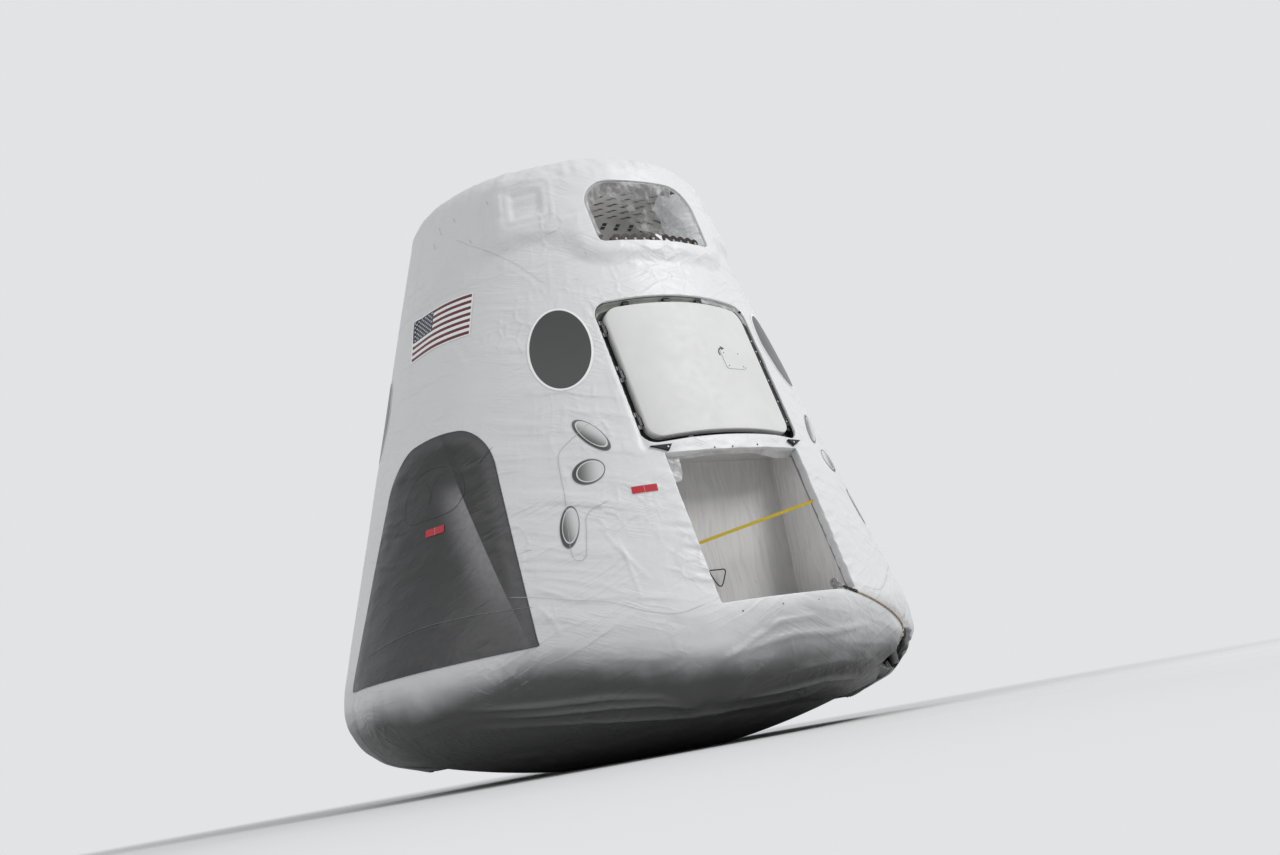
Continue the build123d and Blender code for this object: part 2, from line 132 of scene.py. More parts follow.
POD_LABEL = (0.168, 0.050)

# Tow point and tether
TOW_ANGLE = 37
TOW_LOW_Z = 0.320
TOW_HIGH_Z = 0.545
TOW_HALF_W = 0.320
TOW_ARCH_R = (TOW_HALF_W ** 2 + (TOW_HIGH_Z - TOW_LOW_Z) ** 2) / (2 * (TOW_HIGH_Z - TOW_LOW_Z))
TOW_TURN = (cos(radians(TOW_ANGLE)), sin(radians(TOW_ANGLE)))
TOW_EYE_R = 1.868
TOW_EYE_Z = 0.4325
SILL_ANGLE = 12

# The film
FILM_START_R = 1.5
FILM_GAP = 0.009
FILM_LEAST = 0.002
SEAM_Z = 0.738
CROWN_SEAM_Z = 3.28
DENT_ANGLE = -18.4
DENT_Z = 0.37
LINTEL_Z = 1.84
FRONT_FROM = -128
FRONT_TO = 62
FINE_FROM = -62
FINE_TO = 18
FILM_CELL = 0.0175
FINE_CELL = 0.0102
POD_SINK = 0.0045
FORWARD = Vector((0, -1, 0))


# Shape of the body

RUNS = (  # lengths of the stretches of the outline: dish, shoulder, wall, crown edge, crown top
    DISH_R * (asin(DISH_R * sin(DISH_LEAN) / DISH_R) - asin(FILM_START_R / DISH_R)),
    SHOULDER_R * (LEAN + pi / 2 - DISH_LEAN),
    (CROWN_Z + CROWN_R * sin(LEAN) - WALL_LOW_Z) / cos(LEAN),
    CROWN_R * (pi / 2 - LEAN),
)


def cone_r(z):
    """Outer radius of the straight wall at a height."""
    return WALL_LOW_R - (z - WALL_LOW_Z) * tan(LEAN)


CROWN_CENTRE_R = cone_r(CROWN_Z) - CROWN_R / cos(LEAN)
RUN_END = sum(RUNS) + CROWN_CENTRE_R


def outline(run):
    """Radius, height, and the outward direction's radius and height, at distances along the outline."""
    dish, shoulder, wall, edge = np.cumsum(RUNS)
    run = np.asarray(run, float)
    on_dish = asin(FILM_START_R / DISH_R) + run / DISH_R
    on_ring = DISH_LEAN - pi / 2 + (run - dish) / SHOULDER_R
    on_wall = run - shoulder
    on_edge = LEAN + (run - wall) / CROWN_R
    on_top = run - edge
    where = [run < dish, run < shoulder, run < wall, run < edge]
    flat = np.ones_like(run)
    r = np.select(where, [DISH_R * np.sin(on_dish), RING_R + SHOULDER_R * np.cos(on_ring),
                          WALL_LOW_R - on_wall * sin(LEAN), CROWN_CENTRE_R + CROWN_R * np.cos(on_edge)],
                  CROWN_CENTRE_R - on_top)
    z = np.select(where, [DISH_Z - DISH_R * np.cos(on_dish), RING_Z + SHOULDER_R * np.sin(on_ring),
                          WALL_LOW_Z + on_wall * cos(LEAN), CROWN_Z + CROWN_R * np.sin(on_edge)], TOTAL_H)
    out_r = np.select(where, [np.sin(on_dish), np.cos(on_ring), cos(LEAN) * flat, np.cos(on_edge)], 0)
    out_z = np.select(where, [-np.cos(on_dish), np.sin(on_ring), sin(LEAN) * flat, np.sin(on_edge)], 1)
    return np.maximum(r, 0), z, out_r, out_z


def run_at(z):
    """Distance along the outline of a height on the shoulder or the wall."""
    if z < WALL_LOW_Z:
        return RUNS[0] + SHOULDER_R * (asin((z - RING_Z) / SHOULDER_R) + pi / 2 - DISH_LEAN)
    return RUNS[0] + RUNS[1] + (z - WALL_LOW_Z) / cos(LEAN)


def on_body(angle, run):
    """Points of the outside and their outward directions, at angles and distances along the outline."""
    r, z, out_r, out_z = outline(run)
    across, along = np.sin(np.radians(angle)), -np.cos(np.radians(angle))
    point = np.stack([across * r, along * r, z + 0 * angle], -1)
    normal = np.stack([across * out_r, along * out_r, out_z + 0 * angle], -1)
    return point, normal


def wall_frame(angle, z):
    """Touching point, sideways, upward and outward directions of the wall at an angle and a height."""
    across, along = sin(radians(angle)), -cos(radians(angle))
    touch = np.array([across * cone_r(z), along * cone_r(z), z])
    side = np.array([-along, across, 0.0])
    up = np.array([-across * sin(LEAN), -along * sin(LEAN), cos(LEAN)])
    out = np.array([across * cos(LEAN), along * cos(LEAN), sin(LEAN)])
    return touch, side, up, out


def turn_of(point):
    """Angles round the body of points, in radians."""
    return np.arctan2(point[..., 0], -point[..., 1])


def on_frame(point, angle, z):
    """Sideways and upward places of points on the plane that touches the wall, and their reach outwards."""
    touch, side, up, out = wall_frame(angle, z)
    rel = point - touch
    return rel @ side, rel @ up, rel @ out


def project(angle, z, x, y, inset=0.0):
    """Points of the wall, inset from its outside, over places on a touching plane."""
    touch, side, up, out = wall_frame(angle, z)
    start = touch + np.multiply.outer(x, side) + np.multiply.outer(y, up)
    reach = np.full(start.shape[:-1], -inset)
    for _ in range(8):
        p = start + reach[..., None] * out
        r = np.hypot(p[..., 0], p[..., 1])
        miss = r - cone_r(p[..., 2]) + inset / cos(LEAN)
        slope = (p[..., 0] * out[0] + p[..., 1] * out[1]) / r + tan(LEAN) * out[2]
        reach = reach - miss / slope
    return start + reach[..., None] * out


# Distances to outlines, below zero inside

def box_distance(x, y, size):
    """Distance to a rounded rectangle of a width, a length and a corner radius."""
    width, length, corner = size
    dx = np.abs(x) - width / 2 + corner
    dy = np.abs(y) - length / 2 + corner
    beyond = np.hypot(np.maximum(dx, 0), np.maximum(dy, 0))
    return beyond + np.minimum(np.maximum(dx, dy), 0) - corner


def ellipse_distance(x, y, width, length):
    """Distance to an ellipse, close to its rim."""
    share = np.hypot(x / (width / 2), y / (length / 2)) + 1e-9
    grade = np.hypot(x / (width / 2) ** 2, y / (length / 2) ** 2) / share + 1e-9
    return (share - 1) / grade


def mouth_distance(x, z):
    """Distance to the D-shaped mouth of the upper bay."""
    middle = MOUTH_LOW_Z + MOUTH_H / 2
    corner = np.where(z > middle, MOUTH_TOP_ROUND, MOUTH_FOOT_ROUND)
    return box_distance(x, z - middle, (MOUTH_W, MOUTH_H, corner))


def tow_distance(point):
    """Distance to the arched mouth of the tow point, places across it, and where points face its way."""
    c, s = TOW_TURN
    x = point[..., 0] * c + point[..., 1] * s
    facing = point[..., 0] * s - point[..., 1] * c > 0.5
    arch = np.hypot(x, point[..., 2] - TOW_HIGH_Z + TOW_ARCH_R) - TOW_ARCH_R
    return np.maximum(arch, TOW_LOW_Z - point[..., 2]), x, facing


def open_distance(point):
    """Distance of points of the body to the nearest opening in the film."""
    x, y, _ = on_frame(point, 0, HATCH_Z)
    front = point[..., 1] < -0.56
    away = np.full(x.shape, 9.0)
    hatch = box_distance(x + 0.003, y, HATCH_HOLE)
    bay_middle = (BAY_LOW_Z + BAY_HIGH_Z) / 2
    bay = box_distance(point[..., 0], point[..., 2] - bay_middle, (BAY_W, BAY_HIGH_Z - BAY_LOW_Z, 0.012))
    mouth = mouth_distance(point[..., 0], point[..., 2])
    tow, _, facing = tow_distance(point)
    level = np.where(front, np.minimum(np.minimum(hatch, bay), mouth), away)
    return np.minimum(level, np.where(facing, tow, away))


def pod_distance(x, y):
    """Distance to the outline of a pod panel, without its foot."""
    high = (POD_HIGH_Z - POD_Z) / cos(LEAN)
    shoulder = high - POD_TOP_RISE
    low = (POD_LOW_Z - POD_Z) / cos(LEAN)
    grow = (POD_LOW_HALF - POD_HIGH_HALF) / (shoulder - low)
    side = (np.abs(x) - POD_HIGH_HALF - grow * (shoulder - y)) / sqrt(1 + grow ** 2)
    arch_r = (POD_HIGH_HALF ** 2 + POD_TOP_RISE ** 2) / (2 * POD_TOP_RISE)
    top = np.hypot(x, y - high + arch_r) - arch_r
    both = np.hypot(np.maximum(side + POD_CORNER, 0), np.maximum(top + POD_CORNER, 0)) - POD_CORNER
    return np.where((side > -POD_CORNER) & (top > -POD_CORNER), both, np.maximum(side, top))


# Creases of the film

def smooth(x, low, high):
    """0 below low, 1 above high, and smooth between them; the other way round if high is below low."""
    share = np.clip((x - low) / (high - low), 0, 1)
    return share * share * (3 - 2 * share)


def noise(point, seed):
    """Smooth noise between -1 and 1 at an array of places."""
    cell = np.floor(point).astype(np.int64)
    share = point - cell
    share = share * share * (3 - 2 * share)
    total = 0
    for corner in range(8):
        step = np.array([corner & 1, corner >> 1 & 1, corner >> 2])
        knot = (cell + step) * (374761393, 668265263, 974634777)
        mix = (knot.sum(axis=-1) + seed * 1274126177) & 0xffffffff
        mix = ((mix ^ (mix >> 13)) * 1274126177) & 0xffffffff
        value = ((mix ^ (mix >> 16)) & 0xffff) / 32767.5 - 1
        total = total + np.prod(np.where(step == 1, share, 1 - share), axis=-1) * value
    return total


def crumple(x, y, seed):
    """Crumpled film: flat facets between sharp valleys and crests, about -1 to 1."""
    first = np.abs(noise(at(x + 0.4 * y, y - 0.3 * x), seed)) - 0.35
    second = np.abs(noise(at(2.1 * x - y, 1.9 * y + 0.8 * x), seed + 1)) - 0.35
    return 1.5 * first + 0.8 * second


def at(x, y, seed_z=0.0):
    """Places of a flat pattern."""
    return np.stack([x, y, np.full(np.shape(x), seed_z)], -1)


def blended(a, b, reach):
    """Smaller of two distances, rounded where they meet."""
    share = np.clip(0.5 + 0.5 * (b - a) / reach, 0, 1)
    return b * (1 - share) + a * share - reach * share * (1 - share)


def housings(point):
    """Rise of the film over the housings of the crown, bridging the valleys between them."""
    x, y, reach = on_frame(point, 0, HOUSING_Z)
    level = np.where(reach > -0.75, box_distance(x, y, HOUSING), 9.0)
    sag = 0
    for side in (-1, 1):
        sx, sy, reach = on_frame(point, side * SIDE_HOUSING_ANGLE, SIDE_HOUSING_Z)
        facing = reach > -0.5
        level = blended(level, np.where(facing, box_distance(sx, sy, SIDE_HOUSING), 9.0), 0.16)
        sag = sag + smooth(box_distance(sx, sy, PANE), 0.004, -0.040) * facing * 0.017
        rim = np.abs(box_distance(sx, sy, PANE_RIM))
        sag = sag - smooth(rim, 0.018, 0.0) * facing * (0.006 + 0.003 * noise(point * 9, 35))
    return smooth(level, 0.125, -0.010) * HOUSING_RISE - sag


def pane_folds(point):
    """Slack folds across the side panes, and short creases round the housings."""
    rise = 0
    for side in (-1, 1):
        x, y, reach = on_frame(point, side * SIDE_HOUSING_ANGLE, SIDE_HOUSING_Z)
        inside = smooth(box_distance(x, y, PANE), 0.03, -0.03) * (reach > -0.4)
        rise = rise + inside * 0.0125 * noise(at(x * 2.5 + 2 * y, y * 19 + x * 3 * side), 31)
        rim = box_distance(x, y, SIDE_HOUSING)
        around = smooth(np.abs(rim), 0.14, 0.02) * (reach > -0.4)
        rise = rise + around * 0.003 * noise(at(x * 5, y * 20 + x * 6), 33)
    x, y, reach = on_frame(point, 0, HOUSING_Z)
    rim = box_distance(x, y, HOUSING)
    turn = np.arctan2(x, y)
    around = smooth(np.abs(rim + 0.01), 0.11, 0.02) * (reach > -0.7)
    return rise + around * 0.0035 * noise(at(turn * 17, rim * 5), 34)


def bay_creases(point):
    """Short creases that run out from the sides of the lower bay, and long ones below the nozzles."""
    x, z = point[..., 0], point[..., 2]
    front = point[..., 1] < -0.5
    beside = np.abs(x) - BAY_W / 2
    tall = smooth(z, 0.80, 1.02) * smooth(z, 1.80, 1.50)
    near = smooth(beside, 0.30, 0.02) * tall * front
    rise = near * 0.0060 * noise(at(beside * 5, z * 27 - np.abs(x) * 7), 41)
    fan = smooth(beside, 0.05, 0.25) * smooth(beside, 0.85, 0.5) * smooth(z, 0.78, 0.95)
    fan = fan * smooth(z, 1.45, 1.2)
    rise = rise + fan * front * 0.0035 * noise(at(x * 2 + z * 1.5, z * 9 + np.abs(x) * 9), 43)
    lintel = smooth(np.abs(z - LINTEL_Z), 0.10, 0.02) * (np.abs(x) < 0.75) * front
    return rise + lintel * 0.005 * noise(at(x * 9, z * 22), 45)


def from_route(point, route):
    """Distance from a route of angles and heights, and the share of the route that lies behind."""
    route = np.asarray(route, float)
    r = float(outline(run_at(route[:, 1].mean()))[0])
    across = turn_of(point) * r
    places = np.stack([np.radians(route[:, 0]) * r, route[:, 1]], 1)
    long = np.concatenate([[0], np.cumsum(np.linalg.norm(np.diff(places, axis=0), axis=1))])
    nearest, where = np.full(across.shape, 9.0), np.zeros(across.shape)
    for (ax, az), (bx, bz), start, end in zip(places, places[1:], long, long[1:]):
        share = ((across - ax) * (bx - ax) + (point[..., 2] - az) * (bz - az)) / (end - start) ** 2
        share = np.clip(share, 0, 1)
        apart = np.hypot(across - ax - share * (bx - ax), point[..., 2] - az - share * (bz - az))
        closer = apart < nearest
        nearest = np.where(closer, apart, nearest)
        where = np.where(closer, (start + share * (end - start)) / long[-1], where)
    return nearest, where


def fold(point, route, height, width):
    """Ridge along a route, fading towards its ends."""
    nearest, where = from_route(point, route)
    return height * np.exp(-(nearest / width) ** 2) * np.sin(pi * where) ** 0.6


TETHER_STOPS = [(SILL_ANGLE + share * (35.2 - SILL_ANGLE), BAY_LOW_Z + 0.017 + share * (0.532 - BAY_LOW_Z))
                for share in np.linspace(0, 1, 5)]
FOLDS = (  # height, width, angles and heights of the stops
    (0.030, 0.018, ((-64, 0.48), (-59.7, 0.47), (-48.7, 0.43), (-37.2, 0.41), (-28.8, 0.37), (-22.9, 0.31))),
    (0.025, 0.014, ((-59.1, 0.41), (-47.8, 0.38), (-37.6, 0.36), (-28.9, 0.33), (-20.0, 0.27))),
    (0.021, 0.014, ((-66, 0.37), (-50.0, 0.33), (-38.0, 0.29), (-25.0, 0.25), (-8.0, 0.235), (10, 0.24))),
    (0.027, 0.016, ((-13.2, 0.28), (-1.7, 0.30), (6.9, 0.32), (15.6, 0.31), (24.0, 0.29))),
    (0.021, 0.014, ((-10.0, 0.36), (0.0, 0.40), (9.0, 0.41), (19.0, 0.38), (28.0, 0.35))),
    (0.019, 0.018, ((-19.0, 0.502), (-14.5, 0.526), (-2.7, 0.572), (4.9, 0.554), (17.4, 0.577))),
    (0.010, 0.012, ((-8.8, 0.64), (-3.0, 0.655), (3.3, 0.657))),
    (0.010, 0.010, ((-57.8, 0.73), (-55.7, 0.64), (-53.5, 0.53), (-52.0, 0.47))),
    (0.010, 0.010, ((-55.3, 0.73), (-52.8, 0.62), (-50.0, 0.51), (-48.5, 0.45))),
    (0.014, 0.011, ((-32.5, 0.48), (-28.3, 0.48), (-25.4, 0.49), (-22.5, 0.53))),
    (0.016, 0.011, ((-13.9, 0.38), (-11.0, 0.42), (-7.3, 0.48))),
    (0.014, 0.011, ((-4.7, 0.66), (-11.7, 0.57), (-16.2, 0.51), (-20.0, 0.46))),
    (0.010, 0.010, ((-36.0, 0.60), (-30.0, 0.56), (-25.0, 0.55))),
    (0.010, 0.009, ((8.0, 0.50), (16.0, 0.47), (25.0, 0.46))),
    (0.006, 0.011, ((-48.0, 1.10), (-44.0, 1.03), (-40.3, 0.96), (-37.0, 0.93))),
    (0.006, 0.012, ((-47.1, 0.98), (-45.0, 0.90), (-43.6, 0.82), (-43.0, 0.76))),
    (0.005, 0.012, ((-33.8, 1.38), (-31.5, 1.25), (-28.5, 1.10), (-26.3, 0.99))),
    (0.005, 0.011, ((-31.2, 1.32), (-30.0, 1.16), (-29.1, 0.98), (-28.8, 0.88))),
    (0.003, 0.009, ((-37.0, 1.08), (-33.0, 0.98), (-29.0, 0.92), (-23.0, 0.88))),
    (0.003, 0.008, ((-67.5, 3.66), (-56.7, 3.48), (-49.0, 3.33), (-37.4, 3.07))),
    (0.007, 0.013, ((-92.0, 3.86), (-90.0, 3.60), (-91.0, 3.35), (-94.0, 3.10))),
    (0.006, 0.012, ((-86.0, 3.62), (-84.5, 3.45), (-82.0, 3.34))),
)


def long_folds(point):
    """All ridges of the table together."""
    return sum(fold(point, route, height, width) for height, width, route in FOLDS)


def shoulder_folds(point):
    """Slack film round the shoulder, dent at the front, gathers below the seam, folds round the tow point."""
    z = point[..., 2]
    flat = point * np.array([1.0, 1.0, 0.0])
    low = smooth(z, 0.72, 0.50)
    broad = noise(flat * 0.8 + point * np.array([0, 0, 14.0]), 51)
    short_folds = noise(flat * 2.4 + point * np.array([0, 0, 26.0]), 53)
    turn = turn_of(point)
    rise = low * (0.013 + 0.008 * (1 + broad) + 0.0035 * short_folds)
    from_dent = np.hypot((turn - radians(DENT_ANGLE)) * 1.8, z - DENT_Z)
    dent_rim, dent = np.exp(-((from_dent - 0.15) / 0.055) ** 2), np.exp(-(from_dent / 0.095) ** 2)
    rise = rise + 0.011 * dent_rim - 0.026 * dent
    seam = smooth(np.abs(z - SEAM_Z + 0.05), 0.12, 0.02)
    rise = rise + seam * 0.0035 * noise(at(turn * 16, z * 7 + turn * 6), 55)
    tow, x, facing = tow_distance(point)
    turn = np.arctan2(x, z - TOW_LOW_Z + 0.05)
    around = smooth(tow, 0.45, 0.03) * facing
    return rise + around * 0.014 * noise(at(turn * 8, tow * 2.5), 57)


def flag_creases(point):
    """Short slanting creases under the flag, and the soft arched step above it."""
    x, y, reach = on_frame(point, FLAG_ANGLE, FLAG_Z)
    below = smooth(y, -0.17, -0.22) * smooth(y, -0.52, -0.34) * smooth(np.abs(x), 0.42, 0.25)
    rise = below * (reach > -0.5) * 0.004 * noise(at(x * 16 + y * 12, y * 5 - x * 3), 61)
    ax, ay, reach = on_frame(point, FLAG_ANGLE + 13, FLAG_Z - 0.12)
    apart = np.hypot(ax, ay)
    quadrant = smooth(ay - ax, 0.1, 0.4) * (reach > -0.5)
    inside = smooth(apart, 0.63, 0.585) * smooth(apart, 0.28, 0.55)
    return rise - inside * quadrant * 0.009


def pod_creases(point):
    """Stacked creases at the outer edge of each pod panel and small ones inside it."""
    rise = 0
    for angle in PODS.values():
        x, y, reach = on_frame(point, angle, POD_Z)
        near = reach > -0.7
        inside = smooth(pod_distance(x, y), 0.0, -0.05) * near
        edge = smooth(x, -0.10, -0.42) * smooth(y, 0.05, 0.3) * smooth(y, 0.98, 0.8)
        rise = rise + inside * edge * 0.007 * noise(at(x * 5, y * 30 + x * 9), 71 + angle)
        rise = rise + inside * 0.0035 * noise(at(x * 6 + y * 2, y * 13), 72 + angle)
    return rise


def film_rise(point):
    """Height of the film over the outside of the body."""
    rise = FILM_GAP + 0.0045 * (noise(point * 1.7, 11) + 1) + 0.0015 * noise(point * 5.5, 12)
    streaks = noise(point * np.array([2.4, 2.4, 11.0]) + point[..., :1] * np.array([0, 0, 3.0]), 13)
    where = smooth(noise(point * 1.3, 14), -0.1, 0.5)
    rise = rise + 0.0022 * streaks * where
    wall = smooth(point[..., 2], 0.72, 0.85)
    rise = rise + 0.0012 * wall * noise(point * np.array([6.0, 6.0, 0.9]), 15)
    turn = turn_of(point)
    hem = smooth(point[..., 2], 3.86, 4.0) * smooth(np.hypot(point[..., 0], point[..., 1]), 0.80, 0.96)
    rise = rise + hem * (0.004 * noise(at(turn * 26, point[..., 2] * 7), 16) + 0.003 * noise(point * 14, 17))
    rise = rise + long_folds(point) + housings(point) + pane_folds(point) + bay_creases(point)
    rise = rise + shoulder_folds(point) + flag_creases(point) + pod_creases(point)
    pressed = 0.007 + 0.5 * np.maximum(from_route(point, TETHER_STOPS)[0] - 0.014, 0)
    x, y, reach = on_frame(point, 0, HATCH_Z)
    off_hinge = np.hypot(x - HINGE_X, np.maximum(np.abs(y) - HINGE_HALF, 0)) + 9 * (reach < -0.75)
    pressed = np.minimum(pressed, 0.009 + 0.35 * off_hinge)
    return np.maximum(np.minimum(rise, pressed), FILM_LEAST)


# Mesh helpers

def in_scene(name, data):
    """Object of some data, linked to the scene."""
    made = bpy.data.objects.new(name, data)
    bpy.context.scene.collection.objects.link(made)
    return made


def mesh_of(bm, name, material):
    """Mesh of a bmesh, with its material; the bmesh is freed."""
    mesh = bpy.data.meshes.new(name)
    bm.to_mesh(mesh)
    bm.free()
    mesh.materials.append(material)
    return mesh


def finish(name, bm, material, body="hull", smooth_faces=True):
    """Object of a bmesh, with its material, riding on a body."""
    for face in bm.faces:
        face.smooth = smooth_faces
    piece = in_scene(name, mesh_of(bm, name, material))
    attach(piece, body)
    return piece


def bridge(bm, rows, closed=False):
    """Faces between rows of vertices."""
    for low, high in zip(rows, rows[1:]):
        count = len(low)
        for n in range(count if closed else count - 1):
            m = (n + 1) % count
            bm.faces.new((low[n], low[m], high[m], high[n]))


def wall_row(bm, angle, z, places, inset):
    """Vertices inset from the outside of the wall, over places on a touching plane."""
    return [bm.verts.new(p) for p in project(angle, z, places[:, 0], places[:, 1], inset)]


def face_way(bm, way):
    """Turns all faces of a bmesh over if, by area, they face away from a direction."""
    bm.normal_update()
    if sum(face.normal.dot(way) * face.calc_area() for face in bm.faces) < 0:
        bmesh.ops.reverse_faces(bm, faces=bm.faces)


def trimmed_grid(place, level, extras=()):
    """bmesh of a grid of points where level is above zero, its cut rim, and layers of extra values."""
    rows, cols = level.shape
    verts = [tuple(p) for p in place.reshape(-1, 3)]
    values = [list(extra.reshape(-1)) for extra in extras]
    height = level.reshape(-1).tolist()
    faces, rim, crossings = [], set(), {}

    def crossing(a, b):
        """Point where an edge crosses the outline."""
        key = (min(a, b), max(a, b))
        if key not in crossings:
            share = height[a] / (height[a] - height[b])
            crossings[key] = len(verts)
            verts.append(tuple(p + (q - p) * share for p, q in zip(verts[a], verts[b])))
            for value in values:
                value.append(value[a] + (value[b] - value[a]) * share)
        return crossings[key]

    for row in range(rows - 1):
        for col in range(cols - 1):
            corner = row * cols + col
            quad = (corner, corner + 1, corner + cols + 1, corner + cols)
            inside = [height[i] > 0 for i in quad]
            if all(inside):
                faces.append(quad)
            elif any(inside):
                loop, cut = [], []
                for i, a in enumerate(quad):
                    b = quad[(i + 1) % 4]
                    if inside[i]:
                        loop.append(a)
                    if inside[i] != inside[(i + 1) % 4]:
                        loop.append(crossing(a, b))
                        cut.append(loop[-1])
                faces.append(tuple(loop))
                if len(cut) == 2:
                    rim.add(frozenset(cut))
    used = sorted({i for face in faces for i in face})
    slot = {i: n for n, i in enumerate(used)}
    bm = bmesh.new()
    for n in range(len(values)):
        bm.verts.layers.float.new("value_%d" % n)
    layers = [bm.verts.layers.float["value_%d" % n] for n in range(len(values))]
    made = [bm.verts.new(verts[i]) for i in used]
    for vert, i in zip(made, used):
        for layer, value in zip(layers, values):
            vert[layer] = value[i]
    for face in faces:
        bm.faces.new([made[slot[i]] for i in face])
    bm.normal_update()
    edges = [bm.edges.get([made[slot[i]] for i in pair]) for pair in rim]
    return bm, [edge for edge in edges if edge is not None]


# steps of a turned-in rim: past the rim, and inwards
LIP = ((0.0012, 0.0008), (0.003, 0.004), (0.004, 0.011), (0.004, 0.026), (0.0035, 0.052))
HATCH_LIP = ((0.0012, 0.0008), (0.003, 0.004), (0.0036, 0.009), (0.0030, 0.014), (0.0022, 0.019))


def round_hatch(place):
    """Whether a place of a rim belongs to the hatch."""
    return -place.y > 0.9 and abs(place.x) < 0.66 and 1.87 < place.z < 3.0


def turn_in(bm, rim):
    """Turns a rim inwards in a rounded lip, a short one round the hatch."""
    way = {}
    for edge in rim:
        face = edge.link_faces[0]
        middle = (edge.verts[0].co + edge.verts[1].co) / 2
        out = (edge.verts[1].co - edge.verts[0].co).cross(face.normal)
        if out.length < 1e-9:
            continue
        out.normalize()
        if out.dot(middle - face.calc_center_median()) < 0:
            out = -out
        for vert in edge.verts:
            way.setdefault(vert, Vector())
            way[vert] += out
    normals = {vert: vert.normal.copy() for vert in way}
    rows = {}
    for vert, out in way.items():
        out.normalize()
        steps = HATCH_LIP if round_hatch(vert.co) else LIP
        rows[vert] = [vert] + [bm.verts.new(vert.co + out * a - normals[vert] * b) for a, b in steps]
    for edge in rim:
        loop = edge.link_loops[0]
        first, second = loop.vert, loop.link_loop_next.vert
        if first not in rows or second not in rows:
            continue
        for n in range(len(LIP)):
            bm.faces.new((rows[second][n], rows[first][n], rows[first][n + 1], rows[second][n + 1]))
    bm.normal_update()


def behind_pods(point):
    """1 behind the pod prints and 0 elsewhere."""
    share = 0
    for angle in PODS.values():
        x, y, reach = on_frame(point, angle, POD_Z)
        share = share + smooth(pod_distance(x, y), -0.004, -0.028) * (reach > -0.7)
    return share


def film_piece(name, angles, runs, gap=0.0):
    """Piece of the film skin between angles and distances along the outline, cut for the openings."""
    angle, run = np.meshgrid(angles, runs)
    point, normal = on_body(angle, run)
    rise = film_rise(point) + gap - POD_SINK * behind_pods(point)
    # value_0 carries the height of the long folds, which the film material paints lighter as painted crest
    # highlights.
    bm, rim = trimmed_grid(point + normal * rise[..., None], open_distance(point), [long_folds(point)])
    bmesh.ops.remove_doubles(bm, verts=bm.verts, dist=1e-5)
    bm.normal_update()
    rim = [edge for edge in rim if edge.is_valid and len(edge.link_faces) == 1]
    turn_in(bm, rim)
    piece = finish(name, bm, WHITE_FILM)
    r = outline(runs)[0]
    return piece


def print_patch(name, angle, z, size, distance, material, gap=0.0022, cell=0.012, values=()):
    """Thin print that follows the film: distance gives its outline on the touching plane."""
    half = max(size) / 2 + 0.05
    r = cone_r(z + half * cos(LEAN))
    spread = degrees(half / r) + 2
    low = run_at(max(z - (size[1] / 2 + 0.06), 0.62))
    high = min(run_at(z) + size[1] / 2 + 0.12, RUN_END)
    cols = int(radians(2 * spread) * cone_r(z) / cell)
    rows = int((high - low) / cell)
    angles = np.linspace(angle - spread, angle + spread, cols)
    angles, runs = np.meshgrid(angles, np.linspace(low, high, rows))
    point, normal = on_body(angles, runs)
    rise = film_rise(point) + gap
    x, y, _ = on_frame(point, angle, z)
    bm, _ = trimmed_grid(point + normal * rise[..., None], -distance(x, y, point),
                         [x, y] + [value(x, y) for value in values])
    return finish(name, bm, material)


def strip(bm, route, width, gap):
    """Adds a narrow strip on the film along a route of angles and distances along the outline."""
    route = np.asarray(route, float)
    point, normal = on_body(route[:, 0], route[:, 1])
    point = point + normal * (film_rise(point) + gap)[:, None]
    side = np.cross(normal, np.gradient(point, axis=0))
    side /= np.linalg.norm(side, axis=1)[:, None] + 1e-12
    wide = np.broadcast_to(np.asarray(width, float), (len(route),))[:, None] / 2
    left = [bm.verts.new(p) for p in point + side * wide]
    right = [bm.verts.new(p) for p in point - side * wide]
    for n in range(len(route) - 1):
        face = bm.faces.new((left[n], right[n], right[n + 1], left[n + 1]))
        face.normal_update()
        if face.normal.dot(Vector(normal[n])) < 0:
            face.normal_flip()


def curve_through(points, cell=0.012, closed=False):
    """Evenly spaced points of a smooth curve through the points."""
    points = np.asarray(points, float)
    if closed:
        points = np.concatenate([points[-1:], points, points[:2]])
    else:
        points = np.concatenate([2 * points[:1] - points[1:2], points, 2 * points[-1:] - points[-2:-1]])
    made = []
    for a, b, c, d in zip(points, points[1:], points[2:], points[3:]):
        for t in np.linspace(0, 1, max(int(np.linalg.norm(c - b) / cell), 2), endpoint=False):
            made.append(0.5 * (2 * b + (c - a) * t + (2 * a - 5 * b + 4 * c - d) * t ** 2
                               + (3 * b - a - 3 * c + d) * t ** 3))
    made.append(points[-2])
    return np.array(made)


def film_lines(name, lines, material, gap=0.0040):
    """One piece of thin lines on the film; each gives angle, height, places on that plane and a width."""
    bm = bmesh.new()
    for angle, z, points, width, closed in lines:
        flat = curve_through(points, closed=closed)
        angles, runs = place_on(angle, z, flat[:, 0], flat[:, 1])
        from_end = np.minimum(np.arange(len(flat)), np.arange(len(flat))[::-1])
        fade = 1.0 if closed else np.clip(from_end / 4 + 0.25, 0, 1)
        strip(bm, np.stack([angles, runs], 1), width * fade, gap)
    return finish(name, bm, material)


def place_on(angle, z, x, y):
    """Angle and distance along the outline over a place on the touching plane."""
    p = project(angle, z, x, y)
    return np.degrees(turn_of(p)), RUNS[0] + RUNS[1] + (p[..., 2] - WALL_LOW_Z) / cos(LEAN)


